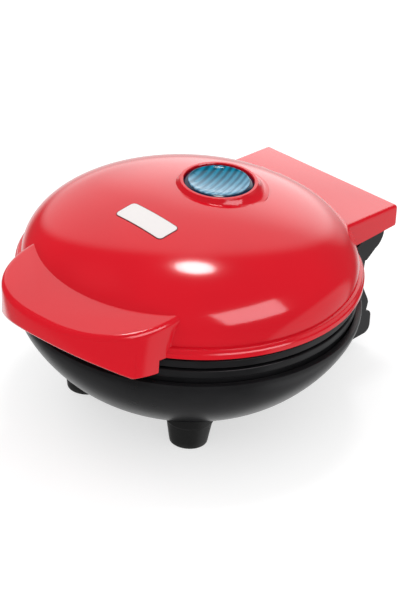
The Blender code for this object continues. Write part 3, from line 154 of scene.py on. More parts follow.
KNUCKLE_RADIUS = 5.9 * MM
KNUCKLE_INNER = 10.0 * MM
KNUCKLE_WIDTH = 10.0 * MM
KNUCKLE_WEB = 8.6 * MM
PIN_BORE_RADIUS = 2.0 * MM
PIN_BORE_END = 27.7 * MM
LEAD_HOLE_RADIUS = 1.7 * MM
LEAD_HOLE_HEIGHT = BAND_TOP + 1.9 * MM

# Lens and collar
COLLAR_TOP = DOME_FOOT + DOME_RISE + 1.7 * MM
COLLAR_TOP_RADIUS = 14.2 * MM
COLLAR_DROP = 3.4 * MM
COLLAR_SWEEP = 3.0 * MM
COLLAR_SLOPE = 1.2 * MM
COLLAR_ROOT = COLLAR_TOP - 5.9 * MM
LENS_RADIUS = 12.6 * MM
LENS_FACE_RADIUS = 11.2 * MM
LENS_SEAT = COLLAR_TOP - 2.5 * MM
LENS_DISH = 1.8 * MM
LENS_DISH_POWER = 2.6
LENS_EDGE_RISE = 0.1 * MM
LENS_EDGE = 0.22 * MM
LENS_RIM_DROP = 0.22 * MM
LENS_RIM_FIT = 0.02 * MM
LENS_RIM_EDGE = 0.15 * MM
LENS_RIB_TURN = math.radians(14)
LENS_ACROSS = (math.cos(LENS_RIB_TURN), math.sin(LENS_RIB_TURN))
LENS_RIB_SHARE = 0.36
LENS_RIB_END = 2.2 * MM
LENS_SHADE_REACH = 11.0 * MM
AT_LENS = (0, LENS_REACH, 0)

# Bare badge on the dome
BADGE_CENTRE = (-1.5 * MM, -23.5 * MM)
BADGE_TURN = math.radians(-5)
BADGE_CORNER = 1.6 * MM
BADGE_COLUMNS = 40
BADGE_ROWS = 26
BADGE_BEND = math.radians(50)
BACKING_EDGE = 0.28 * MM
BACKING_SHARE = 0.6

# Base housing
BOWL_RIM_HEIGHT = PARTING - 5.65 * MM
BOWL_RIM_BAND = 1.5 * MM
BOWL_FLOOR_RADIUS = 35.88 * MM
BOWL_FLOOR_HEIGHT = 8.7 * MM
BOWL_POWER = 1.4
BARREL_RADIUS = 6.6 * MM
BARREL_HALF_WIDTH = 29.0 * MM
TOWER_FRONT = 58.2 * MM
TOWER_SHOULDER = PARTING + 0.65 * MM
TOWER_WEB_DROP = 9.0 * MM
TOWER_WEB_INSET = 1.8 * MM
WEB_ANGLE = math.radians(40)
TOWER_WAIST = HINGE_REACH - 3.6 * MM
TOWER_WAIST_TOP = 38.8 * MM
TOWER_WAIST_BOTTOM = 29.5 * MM
TOWER_BULGE = HINGE_REACH + 0.4 * MM
TOWER_BULGE_HEIGHT = 20.5 * MM
TOWER_BULGE_HALF = 1.2 * MM
TOWER_BOTTOM = 15.6 * MM
TOWER_ROOT = BOWL_RIM_HEIGHT - 9.0 * MM
SLOT_FLOOR_GAP = 1.0 * MM
CHAMBER_HALF_WIDTH = 4.5 * MM
CHAMBER_DEPTH = 2.0 * MM
SHAFT_HALF_WIDTH = 1.4 * MM
SHAFT_FRONT = TOWER_FRONT + 1.2 * MM
SHAFT_BACK = SHAFT_FRONT + 3.4 * MM
SHAFT_BOTTOM = BOWL_RIM_HEIGHT - 7.0 * MM
LUG_INNER = 20.0 * MM
LUG_REACH = HINGE_REACH + 3.2 * MM
LUG_BOTTOM = 6.4 * MM
LUG_TOP = 16.2 * MM
LUG_ROUND = 3.0 * MM
LUG_ROOT = 40.0 * MM
GLAND_HEIGHT = 23.5 * MM
GLAND_HOLE_RADIUS = 4.9 * MM
GLAND_HOLE_START = 50.0 * MM

# Feet
FOOT_BOTTOM_RADIUS = 6.9 * MM
FOOT_TOP_RADIUS = 8.4 * MM
FOOT_COLLAR_RADIUS = 8.9 * MM
FOOT_COLLAR_HEIGHT = 9.6 * MM
FOOT_TOP = 15.0 * MM
FOOT_CHAMFER = 0.6 * MM
FEET = {"front_left": (-1, -1), "front_right": (1, -1), "rear_left": (-1, 1), "rear_right": (1, 1)}

# Frames and waffle plates, by depth from the parting plane
BAND_THICKNESS = 3.0 * MM
BAND_ROUND = 0.5 * MM
NECK_RADIUS = BAND_RADIUS - 1.2 * MM
FRAME_INNER_RADIUS = BAND_RADIUS - 5.9 * MM
LEDGE_DEPTH = 1.8 * MM
FRAME_FLAT = BAND_RADIUS - 3.8 * MM
LIP_INNER_RADIUS = LIP_RADIUS - 3.3 * MM
LIP_THICKNESS = 1.8 * MM
PLATE_GAP = 0.5 * MM
FLOOR_RADIUS = LIP_INNER_RADIUS - 3.1 * MM
FLOOR_DEPTH = 10.0 * MM
PLATE_THICKNESS = 2.0 * MM
DISH_BOTTOM_RADIUS = FLOOR_RADIUS + 0.4 * MM
POST_TOP_DEPTH = 2.5 * MM
POST_FOOT_RADIUS = FLOOR_RADIUS - 2.0 * MM
POST_TOP_RADIUS = POST_FOOT_RADIUS - 1.6 * MM
GRID_PITCH = 14.2 * MM
GRID_CHANNELS = 6
CHANNEL_BOTTOM_WIDTH = 4.6 * MM
CHANNEL_TOP_WIDTH = 7.4 * MM
CHANNEL_STEP = 0.2 * MM
CHANNEL_RADIUS = FLOOR_RADIUS - 1.0 * MM
CHANNEL_LENGTH = 0.2
PLATE_EDGE = 0.5 * MM
CAST_WELD = 0.01 * MM
CAST_FLAT = math.radians(0.5)
CAST_BEND = math.radians(40)

# The photograph's camera, in the photograph's pixels and about the dome's axis
PHOTO_WIDTH = 401
PHOTO_HEIGHT = 601
SENSOR = 36.0
FAR_CLIP = 20
VIEW_WAY = (39.9, 30.5)
VIEW_ROLL = math.radians(3.48)
VIEW_DISTANCE = 1269.7 * MM
VIEW_HEIGHT = 36.0 * MM
FOCAL_PIXELS = 3475.5
AXIS_PIXEL = (187.7, 302.9)

# Studio
FLOOR_REACH = 4
FLOOR_HEIGHTS = (-0.02, -0.0001)
FLOOR_GLOW = 0.62
SOFT_LIGHT = 0.93

# Lamps: azimuth, elevation, width, height, radiance
LAMP_DISTANCE = 1.3
LAMP_AIM = 45 * MM
ROUND_LAMP = (-144.5, 71.5, 0.25, 0.22, 15.0)
WINDOW = (89, 40.5, 0.95, 0.62, 4.2)
WINDOW_TINT = (1.0, 0.93, 0.97)
SIDE_FILL = (-60, 50, 0.6, 0.6, 1.5)

# What gloss alone shows of the room: azimuth, elevation, outer and inner angle, strength
GLOSS_DARK = 0.13
GLOWS = {
    "backdrop": (-136, 27, 36, 29, 1.0),
    "glare": (-152, 14, 26, 6, 1.35),
    "side": (135, -25, 38, 30, 0.55),
    "horizon": (-140, -30, 38, 16, 0.85),
    "below": (-110, -62, 60, 35, 0.12),
}


# Sizes and colours that a user would change

class CookerSizes(bpy.types.PropertyGroup):
    edge_round: FloatProperty(
        name="Edge round", description="Radius of the small edges of the mouldings",
        default=0.35 * MM, min=0.05 * MM, max=0.6 * MM, unit="LENGTH", precision=5,
    )
    lens_ribs: IntProperty(name="Lens ribs", description="Ribs across the lens", default=9, min=3, max=15)
    lens_rib_height: FloatProperty(
        name="Lens rib height", description="How far each rib stands above the lens",
        default=0.12 * MM, unit="LENGTH", precision=5,
    )
    post_round: FloatProperty(
        name="Post round", description="Radius of the cast edges of the waffle plates",
        default=0.45 * MM, unit="LENGTH", precision=5,
    )
    badge_length: FloatProperty(
        name="Blank badge length", description="Longer side of the bare plate on the dome",
        default=23.4 * MM, unit="LENGTH", precision=5,
    )
    badge_width: FloatProperty(
        name="Blank badge width", description="Shorter side of the bare plate on the dome",
        default=9.1 * MM, unit="LENGTH", precision=5,
    )
    badge_thickness: FloatProperty(
        name="Blank badge thickness", description="How far the bare plate stands above the dome",
        default=0.3 * MM, unit="LENGTH", precision=5,
    )


class CookerColours(bpy.types.PropertyGroup):
    red: FloatVectorProperty(
        name="Lid red", description="Colour of the lid's gloss plastic", subtype="COLOR", size=4,
        default=(0.675, 0.004, 0.0145, 1), min=0, max=1,
    )
    black: FloatVectorProperty(
        name="Housing black", description="Colour of the base and frames", subtype="COLOR", size=4,
        default=(0.010, 0.010, 0.011, 1), min=0, max=1,
    )
    blue: FloatVectorProperty(
        name="Lens blue", description="Colour of the lens", subtype="COLOR", size=4,
        default=(0.003, 0.20, 0.33, 1), min=0, max=1,
    )
    badge: FloatVectorProperty(
        name="Badge white", description="Colour of the bare plate", subtype="COLOR", size=4,
        default=(0.82, 0.78, 0.77, 1), min=0, max=1,
    )


# Node trees

class Sock:
    """A node's socket that Python operators work on: each one adds a Math node."""

    def __init__(self, tree, socket):
        self.tree = tree
        self.socket = socket

    def maths(self, operation, *others):
        node = self.tree.nodes.new("ShaderNodeMath")
        node.operation = operation
        for slot, value in zip(node.inputs, (self, *others)):
            plug(self.tree, slot, value)
        return Sock(self.tree, node.outputs[0])

    def __add__(self, other):
        return self.maths("ADD", other)

    def __sub__(self, other):
        return self.maths("SUBTRACT", other)

    def __mul__(self, other):
        return self.maths("MULTIPLY", other)

    def __truediv__(self, other):
        return self.maths("DIVIDE", other)


def plug(tree, slot, value):
    """Links a socket, or sets its value."""
    if isinstance(value, Sock):
        tree.links.new(value.socket, slot)
    else:
        slot.default_value = value


class Nodes:
    """A node tree that grows by one node a call."""

    def __init__(self, tree):
        self.tree = tree

    def node(self, kind, output=0, settings=None, **values):
        """Adds a node: its settings, then its sockets' values, an underscore standing for a space."""
        made = self.tree.nodes.new(kind)
        for name, setting in (settings or {}).items():
            setattr(made, name, setting)
        for name, value in values.items():
            plug(self.tree, made.inputs[name.replace("_", " ")], value)
        return Sock(self.tree, made.outputs[output])


class Finish(Nodes):
    """One material: a Principled shader and the nodes that feed it."""

    def __init__(self, name):
        self.material = bpy.data.materials.new(name)
        self.material.use_nodes = True
        super().__init__(self.material.node_tree)
        self.shader = self.tree.nodes["Principled BSDF"]
        self.place = self.node("ShaderNodeTexCoord", output="Object")

    def noise(self, scale, detail=2.0, stretch=None):
        """Noise over the object, with each axis scaled first for marks that run one way."""
        place = self.place
        if stretch:
            place = self.node("ShaderNodeMapping", output="Vector", Vector=place, Scale=stretch)
        return self.node("ShaderNodeTexNoise", output="Fac", Vector=place, Scale=scale, Detail=detail)

    def ramp(self, value, low, high, start=0.0, end=1.0):
        """Value between low and high, spread over start to end and held outside."""
        return self.node(
            "ShaderNodeMapRange", Value=value, From_Min=low, From_Max=high, To_Min=start, To_Max=end
        )

    def dulled(self, noise, smooth, dull):
        """Roughness between two values over the middle of a noise."""
        return self.ramp(noise, 0.3, 0.7, smooth, dull)

    def mix(self, factor, first, second):
        made = self.tree.nodes.new("ShaderNodeMix")
        made.data_type = "RGBA"
        for index, value in ((0, factor), (6, first), (7, second)):
            plug(self.tree, made.inputs[index], value)
        return Sock(self.tree, made.outputs[2])

    def axes(self):
        """The place's three coordinates."""
        made = self.tree.nodes.new("ShaderNodeSeparateXYZ")
        plug(self.tree, made.inputs[0], self.place)
        return [Sock(self.tree, output) for output in made.outputs]

    def bump(self, height, strength, distance):
        normal = self.node(
            "ShaderNodeBump", output="Normal", Height=height, Strength=strength, Distance=distance
        )
        plug(self.tree, self.shader.inputs["Normal"], normal)

    def set(self, **values):
        """Sets or links the shader's own sockets."""
        for name, value in values.items():
            plug(self.tree, self.shader.inputs[name.replace("_", " ")], value)
        return self.material


def shade(colour, share):
    """A colour made darker or lighter by a share."""
    return (*[min(1.0, c * share) for c in colour[:3]], 1)


# Finishes

def mottled(name, noise, colours, roughness, relief=None, dull_scale=None, **sockets):
    """Two colours mixed by one noise, which also drives the roughness and the relief."""
    finish = Finish(name)
    cloud = finish.noise(*noise)
    dull = finish.noise(dull_scale) if dull_scale else cloud
    if relief:
        finish.bump(cloud, *relief)
    return finish.set(
        Base_Color=finish.mix(cloud, *colours), Roughness=finish.dulled(dull, *roughness), **sockets
    )


def gloss_red():
    """Injection-moulded gloss: faint long waves, fine dust and hairline wear."""
    finish = Finish("gloss_red")
    colour = tuple(bpy.context.scene.cooker_colours.red)
    waves = finish.noise(38.0, 1.0)
    dust = finish.noise(2600.0, 3.0)
    hair = finish.noise(90.0, 4.0, (60.0, 4.0, 4.0))
    wear = finish.ramp(hair, 0.60, 0.78)
    finish.bump(waves + dust * 0.02, 0.05, 0.4 * MM)
    return finish.set(
        Base_Color=finish.mix(finish.ramp(waves, 0.3, 0.7), shade(colour, 0.97), shade(colour, 1.03)),
        Roughness=finish.ramp(dust, 0.3, 0.75, 0.11, 0.17) + wear * 0.04,
        Coat_Weight=0.3,
        Coat_Roughness=0.06,
        Specular_IOR_Level=0.5,
    )


def satin_black():
    """Fine spark-eroded black plastic with a low sheen, paler where it is handled."""
    finish = Finish("satin_black")
    colour = tuple(bpy.context.scene.cooker_colours.black)
    cloud = finish.noise(55.0, 3.0)
    finish.bump(finish.noise(5200.0), 0.10, 0.05 * MM)
    return finish.set(
        Base_Color=finish.mix(finish.ramp(cloud, 0.35, 0.7), shade(colour, 0.8), shade(colour, 1.5)),
        Roughness=finish.dulled(cloud, 0.27, 0.34),
        Specular_IOR_Level=0.35,
    )


def foot_black():
    """Tougher, duller black for the feet and the cord bush, scuffed where they stand."""
    finish = Finish("foot_black")
    grain = finish.noise(3100.0, 3.0)
    scuff = finish.ramp(finish.axes()[2], 0.0, 2.5 * MM, 1.0, 0.0) * finish.noise(420.0)
    base = finish.mix(scuff, (0.010, 0.010, 0.010, 1), (0.045, 0.044, 0.043, 1))
    finish.bump(grain, 0.15, 0.06 * MM)
    return finish.set(Base_Color=base, Roughness=finish.dulled(grain, 0.42, 0.56))


def coated_aluminium():
    """Non-stick coat on cast aluminium: dark, finely speckled, slightly burnished on the high faces."""
    finish = Finish("coated_aluminium")
    grain = finish.noise(2400.0, 4.0)
    speck = finish.ramp(finish.noise(5200.0, 1.0), 0.66, 0.72)
    away = (finish.axes()[2] - PARTING).maths("ABSOLUTE")
    high = finish.ramp(away, POST_TOP_DEPTH, FLOOR_DEPTH, 1.0, 0.0)
    base = finish.mix(high * 0.35, (0.020, 0.020, 0.021, 1), (0.050, 0.049, 0.048, 1))
    base = finish.mix(speck * 0.6, base, (0.16, 0.16, 0.16, 1))
    finish.bump(grain, 0.22, 0.08 * MM)
    return finish.set(Base_Color=base, Roughness=finish.dulled(grain, 0.36, 0.5), Metallic=speck * 0.5)


def bright_sheet():
    """Rolled aluminium sheet with faint lines and heat tint."""
    finish = Finish("bright_sheet")
    lines = finish.noise(900.0, 2.0, (1.0, 0.03, 1.0))
    tint = finish.ramp(finish.noise(28.0), 0.45, 0.7)
    base = finish.mix(tint, (0.76, 0.76, 0.78, 1), (0.70, 0.64, 0.52, 1))
    finish.bump(lines, 0.08, 0.03 * MM)
    return finish.set(Base_Color=base, Metallic=1.0, Roughness=finish.dulled(lines, 0.22, 0.36))


def element_sheath():
    """Dull sheathed tube, browned by heat."""
    finish = Finish("element_sheath")
    brown = finish.ramp(finish.noise(120.0, 3.0), 0.4, 0.65)
    base = finish.mix(brown, (0.27, 0.26, 0.25, 1), (0.16, 0.12, 0.09, 1))
    finish.bump(finish.noise(1800.0, 3.0), 0.12, 0.05 * MM)
    return finish.set(Base_Color=base, Metallic=0.9, Roughness=finish.ramp(brown, 0.0, 1.0, 0.34, 0.52))


def lead_sleeve():
    """Woven glass sleeve on the leads."""
    finish = Finish("lead_sleeve")
    weave = finish.node(
        "ShaderNodeTexWave", output="Fac", Vector=finish.place, Scale=900.0, Distortion=1.5
    )
    base = finish.mix(weave, (0.58, 0.55, 0.48, 1), (0.78, 0.76, 0.70, 1))
    finish.bump(weave, 0.3, 0.06 * MM)
    return finish.set(Base_Color=base, Roughness=finish.ramp(weave, 0.0, 1.0, 0.55, 0.7))


def zinc_steel():
    """Bright zinc-plated steel with fine turning marks."""
    colours = (0.56, 0.57, 0.58, 1), (0.70, 0.69, 0.66, 1)
    marks = (2200.0, 2.0, (0.2, 1.0, 1.0))
    return mottled("zinc_steel", marks, colours, (0.22, 0.34), (0.1, 0.02 * MM), Metallic=1.0)


def ceramic():
    """Glazed ceramic with a faint mottle."""
    colours = (0.80, 0.77, 0.71, 1), (0.88, 0.86, 0.82, 1)
    return mottled("ceramic", (260.0, 4.0), colours, (0.28, 0.4), (0.06, 0.05 * MM))


def lamp_glass():
    """Clear amber glass of the small lamp."""
    colours = (0.92, 0.60, 0.36, 1), (0.86, 0.68, 0.48, 1)
    return mottled("lamp_glass", (900.0,), colours, (0.05, 0.1), Transmission_Weight=0.4)


def lens_edge_navy():
    """Deep navy of the ring round the lens."""
    colours = (0.002, 0.008, 0.028, 1), (0.006, 0.022, 0.06, 1)
    return mottled("lens_edge_navy", (400.0,), colours, (0.05, 0.1), dull_scale=900.0)


def lens_blue():
    """Blue lens plastic with painted highlights along its ribs and a painted reflection that makes it
    paler towards the front.
    """
    finish = Finish("lens_blue")
    colour = tuple(bpy.context.scene.cooker_colours.blue)
    x, y, _ = finish.axes()
    out = y - AXIS_Y - LENS_REACH
    across = (x * LENS_ACROSS[0] + out * LENS_ACROSS[1]) / lens_pitch()
    # Painted highlights along the ribs: bright stripes across the lens at the rib pitch.
    rib_highlight = (across * math.tau).maths("SINE")
    # Painted reflection: this share makes the lens paler towards the front and darker towards the back.
    depth = finish.ramp(out - x, -LENS_SHADE_REACH, LENS_SHADE_REACH)
    cloud = finish.noise(320.0)
    # The colour between the painted rib highlights, and the colour of the painted highlights; both are
    # paler towards the front by the painted reflection.
    between_highlights_blue = finish.mix(depth, (0.09, 0.25, 0.39, 1), shade(colour, 0.4))
    rib_highlight_blue = finish.mix(depth, (0.28, 0.52, 0.68, 1), shade(colour, 1.1))
    base = finish.mix(finish.ramp(rib_highlight + cloud * 1.2 - 0.6, -0.8, 0.9), between_highlights_blue, rib_highlight_blue)
    finish.bump(cloud, 0.04, 0.1 * MM)
    return finish.set(Base_Color=base, Roughness=finish.dulled(cloud, 0.05, 0.11), Specular_IOR_Level=0.4)


def badge_white():
    """Smooth white enamel of the bare plate."""
    colour = tuple(bpy.context.scene.cooker_colours.badge)
    colours = shade(colour, 0.97), colour
    return mottled("badge_white", (700.0,), colours, (0.16, 0.24), (0.03, 0.05 * MM))


def badge_edge():
    """Dark red-brown of the backing that shows as a thin edge round the bare plate."""
    colours = (0.10, 0.012, 0.016, 1), (0.15, 0.02, 0.024, 1)
    return mottled("badge_edge", (500.0,), colours, (0.4, 0.5), dull_scale=700.0)


def floor_white():
    """Paper white of the studio's floor."""
    colours = (0.49, 0.49, 0.49, 1), (0.51, 0.51, 0.51, 1)
    return mottled(
        "floor_white", (60.0, 3.0), colours, (0.5, 0.6), Specular_IOR_Level=0.0,
        Emission_Color=(1, 1, 1, 1), Emission_Strength=FLOOR_GLOW,
    )


@cache
def finish_of(maker):
    """Makes each material once."""
    return maker()


# Meshes

def link(name, data):
    made = bpy.data.objects.new(name, data)
    bpy.context.scene.collection.objects.link(made)
    return made


def closed(name, bm, move=(0, 0, 0)):
    """Turns a bmesh drawn about the dome's axis into an object at the origin."""
    bmesh.ops.remove_doubles(bm, verts=bm.verts, dist=WELD)
    bmesh.ops.recalc_face_normals(bm, faces=bm.faces)
    bmesh.ops.translate(bm, vec=Vector(move) + Vector((0, AXIS_Y, 0)), verts=bm.verts)
    mesh = bpy.data.meshes.new(name)
    bm.to_mesh(mesh)
    bm.free()
    smooth(mesh)
    return link(name, mesh)


def smooth(mesh):
    mesh.shade_smooth()
    mesh.set_sharp_from_angle(angle=SMOOTH_ANGLE)


def softened(section, size, sharp=()):
    """The section with each corner off the axis cut to an arc, but for the indices named sharp."""
    points = []
    count = len(section)
    for index, corner in enumerate(section):
        before = Vector(section[index - 1]) - Vector(corner)
        after = Vector(section[(index + 1) % count]) - Vector(corner)
        straight = before.length < WELD or after.length < WELD
        if index in sharp or corner[0] <= 0 or straight or before.angle(after) > STRAIGHT_ANGLE:
            points.append(tuple(corner))
            continue
        reach = min(
            size / math.tan(before.angle(after) / 2),
            before.length * CORNER_SHARE,
            after.length * CORNER_SHARE,
        )
        start = Vector(corner) + before.normalized() * reach
        end = Vector(corner) + after.normalized() * reach
        for step in range(CORNER_STEPS + 1):
            t = step / CORNER_STEPS
            spot = start * (1 - t) ** 2 + Vector(corner) * 2 * t * (1 - t) + end * t**2
            points.append(tuple(spot))
    return points


def turned(name, section, steps, move=(0, 0, 0)):
    """Turns a closed section of (radius, height) points about the upright axis."""
    bm = bmesh.new()
    verts = [bm.verts.new((radius, 0, height)) for radius, height in section]
    edges = [
        bm.edges.new((start, end))
        for start, end in zip(verts, verts[1:] + verts[:1])
        if start.co.x > 0 or end.co.x > 0
    ]
    bmesh.ops.spin(
        bm, geom=verts + edges, cent=(0, 0, 0), axis=(0, 0, 1), angle=math.tau, steps=steps, use_merge=True
    )
    return closed(name, bm, move)


def prism(name, outline, low, high, along):
    """Extrudes an outline from low to high: (y, z) along X, (x, z) along Y, (x, y) along Z."""
    index = "XYZ".index(along)
    bm = bmesh.new()
    verts = []
    for first, second in outline:
        place = [first, second]
        place.insert(index, low)
        verts.append(bm.verts.new(place))
    face = bm.faces.new(verts)
    moved = bmesh.ops.extrude_face_region(bm, geom=[face])["geom"]
    offset = Vector((0, 0, 0))
    offset[index] = high - low
    bmesh.ops.translate(bm, vec=offset, verts=[v for v in moved if isinstance(v, bmesh.types.BMVert)])
    return closed(name, bm)


def box(name, x, y, z):
    outline = [(x[0], y[0]), (x[1], y[0]), (x[1], y[1]), (x[0], y[1])]
    return prism(name, outline, z[0], z[1], "Z")


def rod(name, radius, start, end, steps=SMALL_STEPS):
    start, end = Vector(start), Vector(end)
    bm = bmesh.new()
    bmesh.ops.create_cone(
        bm, cap_ends=True, segments=steps, radius1=radius, radius2=radius, depth=(end - start).length
    )
    turn = Vector((0, 0, 1)).rotation_difference(end - start).to_matrix().to_4x4()
    bmesh.ops.transform(bm, matrix=Matrix.Translation((start + end) / 2) @ turn, verts=bm.verts)
    return closed(name, bm)


def hinge_rod(name, radius, left, right, steps=SMALL_STEPS):
    """A rod on the hinge's axis."""
    return rod(name, radius, (left, HINGE_REACH, HINGE.z), (right, HINGE_REACH, HINGE.z), steps)


def rounded_edges(obj, chosen, size, segments):
    """Rounds the edges for which chosen(middle, edge) holds, given in the dome's frame."""
    shift = Vector((0, AXIS_Y, 0))
    bm = bmesh.new()
    bm.from_mesh(obj.data)
    edges = [e for e in bm.edges if chosen((e.verts[0].co + e.verts[1].co) / 2 - shift, e)]
    bmesh.ops.bevel(
        bm, geom=edges, offset=size, segments=segments, profile=0.5, affect="EDGES", clamp_overlap=True
    )
    bm.to_mesh(obj.data)
    bm.free()
    smooth(obj.data)


def baked(obj):
    """Applies every modifier, so that a plain mesh is left."""
    bpy.context.view_layer.update()
    graph = bpy.context.evaluated_depsgraph_get()
    mesh = bpy.data.meshes.new_from_object(obj.evaluated_get(graph), depsgraph=graph)
    mesh.name = obj.name
    obj.modifiers.clear()
    obj.data = mesh
    return obj


def carved(obj, *steps):
    """Joins and cuts in the order given, then removes the tools."""
    tools = []
    for operation, group in steps:
        for tool in group:
            modifier = obj.modifiers.new(operation.lower(), "BOOLEAN")
            modifier.operation = operation
            modifier.solver = "EXACT"
            modifier.object = tool
            tools.append(tool)
    baked(obj)
    for tool in tools:
        bpy.data.objects.remove(tool, do_unlink=True)
    smooth(obj.data)
    return obj


def placed(obj, body, slot, finish, *nodes):
    """Gives a finished piece its material and body, and hides the CAD nodes that it stands for; the slot
    is not used.
    """
    if finish:
        obj.data.materials.clear()
        obj.data.materials.append(finish)
    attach(obj, body)
    if nodes:
        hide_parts(*nodes)
    return obj


def superellipse(power, rows):
    """(across, up) shares from (1, 0) to (0, 1) on a quarter of |a|^n + |b|^n = 1."""
    pairs = []
    for row in range(rows + 1):
        angle = math.pi / 2 * row / rows
        pairs.append((max(math.cos(angle), 0) ** (2 / power), math.sin(angle) ** (2 / power)))
    pairs[-1] = (0.0, 1.0)
    return pairs


def flowing(points, steps):
    """Points of a Catmull-Rom curve through the given ones."""
    points = [Vector(p) for p in points]
    padded = [points[0] * 2 - points[1]] + points + [points[-1] * 2 - points[-2]]
    route = []
    for a, b, c, d in zip(padded, padded[1:], padded[2:], padded[3:]):
        for step in range(steps):
            t = step / steps
            bend = (a * 2 - b * 5 + c * 4 - d) * t**2 + (b * 3 - a - c * 3 + d) * t**3
            route.append((b * 2 + (c - a) * t + bend) / 2)
    return [tuple(p) for p in route] + [tuple(points[-1])]


def quarter(steps):
    """Angles over a quarter turn."""
    return [math.pi / 2 * step / steps for step in range(steps + 1)]


# Lid cover

def dome_section(inset, rows):
    return [
        ((DOME_RADIUS - inset) * a, DOME_FOOT + (DOME_RISE - inset) * b)
        for a, b in reversed(superellipse(DOME_POWER, rows))
    ]


def lid_form(name, inset, bottom):
    """The lid's outer form as a solid, drawn in by inset."""
    rim = RIM_RADIUS - inset
    band = rim - LIP_STEP
    lip_top = RIM_HEIGHT + LIP_HEIGHT
    section = [
        (0, DOME_FOOT),
        (DOME_RADIUS - inset, DOME_FOOT),
        (band - BAND_LEAN, DOME_FOOT - LEDGE_DROP),
        (band, lip_top + LIP_STEP),
        (rim, lip_top),
        (rim, bottom),
        (0, bottom),
    ]
    rim_section = softened(section, bpy.context.scene.cooker_sizes.edge_round, sharp=(1,))
    return turned(name, dome_section(inset, DOME_ROWS) + rim_section[2:], FINE_STEPS)


def lid_inside():
    mouth = RIM_HEIGHT + MOUTH_RISE
    clear = BAND_RADIUS + 2 * FIT
    section = dome_section(WALL, DOME_INNER_ROWS)
    section += [
        (RIM_RADIUS - WALL, BAND_TOP - RIM_REBATE),
        (RIM_RADIUS - WALL, mouth + RIM_REBATE),
        (clear, mouth),
        (clear, SKIRT_BOTTOM - OVERRUN),
        (0, SKIRT_BOTTOM - OVERRUN),
    ]
    return turned("lid_inside", section, ROUND_STEPS)


def handle_outline(inset, root):
    half = [
        ((HANDLE_HALF_WIDTH - inset) * a, -HANDLE_ROOT - (HANDLE_REACH - HANDLE_ROOT - inset) * b)
        for a, b in superellipse(HANDLE_POWER, HANDLE_ROWS)
    ]
    right = [(HANDLE_HALF_WIDTH - inset, -root)] + half
    return right + [(-x, y) for x, y in reversed(right[:-1])]


def lean(obj):
    """Lowers the handle's upper side towards the front."""
    slope = HANDLE_FALL / (HANDLE_REACH - HANDLE_ROOT)
    for vert in obj.data.vertices:
        if vert.co.z > SKIRT_BOTTOM:
            vert.co.z += (vert.co.y - AXIS_Y + HANDLE_ROOT) * slope
    return obj


def skirt_edge(out):
    """Height of the skirt's lower edge at a distance in front of the dome's axis."""
    slope = SKIRT_FRONT_RISE / (HANDLE_REACH - SKIRT_CORNER)
    return SKIRT_BOTTOM + max(0.0, out - SKIRT_CORNER) * slope


def skirt_trim():
    """Everything below the skirt's lower edge."""
    far = HANDLE_REACH + OVERRUN
    side = HANDLE_HALF_WIDTH + OVERRUN
    low = SKIRT_BOTTOM - 3 * OVERRUN
    outline = [
        (-far, low),
        (-NOTCH_FRONT + WALL, low),
        (-NOTCH_FRONT + WALL, RIM_HEIGHT),
        (-SKIRT_BACK, RIM_HEIGHT),
        (-SKIRT_BACK, SKIRT_BOTTOM),
        (-SKIRT_CORNER, SKIRT_BOTTOM),
        (-far, skirt_edge(far)),
    ]
    return prism("skirt_trim", outline, -side, side, "X")


def lean_skirt(obj):
    """Draws the skirt's lower edge inwards at the front, more the further out it stands."""
    for vert in obj.data.vertices:
        out = AXIS_Y - vert.co.y
        if out > SKIRT_CORNER and abs(vert.co.z - skirt_edge(out)) < 10 * WELD:
            share = min(1.0, SKIRT_SPREAD * (out - SKIRT_CORNER) / (HANDLE_REACH - SKIRT_CORNER))
            share = share * share * (3 - 2 * share)
            way = Vector((-vert.co.x, out - HANDLE_ROOT, 0)).normalized()
            vert.co += way * SKIRT_LEAN * share
            vert.co.z = skirt_edge(AXIS_Y - vert.co.y)
    return obj


def handle_solid():
    """The handle with its skirt: round above, drawn in and rounded at the skirt's front edge."""
    root = HANDLE_ROOT - HANDLE_FILLET
    outline = handle_outline(0, root)
    handle = lean(prism("handle_form", outline, SKIRT_BOTTOM - OVERRUN, HANDLE_TOP, "Z"))

    def top_edge(middle, edge):
        return all(v.co.z > SKIRT_BOTTOM for v in edge.verts) and abs(middle.y + root) > WELD

    def low_edge(middle, edge):
        ways = [face.normal for face in edge.link_faces]
        below = [way for way in ways if way.z < LOOKS_DOWN]
        beside = [way for way in ways if abs(way.z) < UPRIGHT and way.y < LOOKS_BACK]
        return len(below) == 1 and len(beside) == 1 and middle.y < -SKIRT_BACK

    rounded_edges(handle, top_edge, HANDLE_FILLET, FILLET_STEPS)
    carved(handle, ("DIFFERENCE", [skirt_trim()]))
    rounded_edges(lean_skirt(handle), low_edge, SKIRT_ROUND, CORNER_STEPS)
    return handle


def clear_of_lid(hollow):
    """Takes the lid's own form out of a hollow beside it."""
    wall = lid_form(f"{hollow.name}_wall", FIT, SKIRT_BOTTOM - 3 * OVERRUN)
    return carved(hollow, ("DIFFERENCE", [wall]))


def handle_hollow():
    outline = handle_outline(WALL, HANDLE_ROOT)
    low, high = SKIRT_BOTTOM - 2 * OVERRUN, HANDLE_TOP - WALL
    return clear_of_lid(lean(prism("handle_room", outline, low, high, "Z")))


def handle_rib(number):
    """A stiffening rib across the handle's hollow: the middle one, or one beside it."""
    middle = number * RIB_PITCH
    reach = HANDLE_REACH - (2 * WALL if number else WALL / 2)
    sides = (middle - RIB_THICKNESS / 2, middle + RIB_THICKNESS / 2)
    heights = (HANDLE_TOP - WALL - RIB_DEPTH, HANDLE_TOP - WALL / 2)
    return lean(box(f"handle_rib_{number + 2}", sides, (-reach, -DOME_RADIUS + WALL), heights))


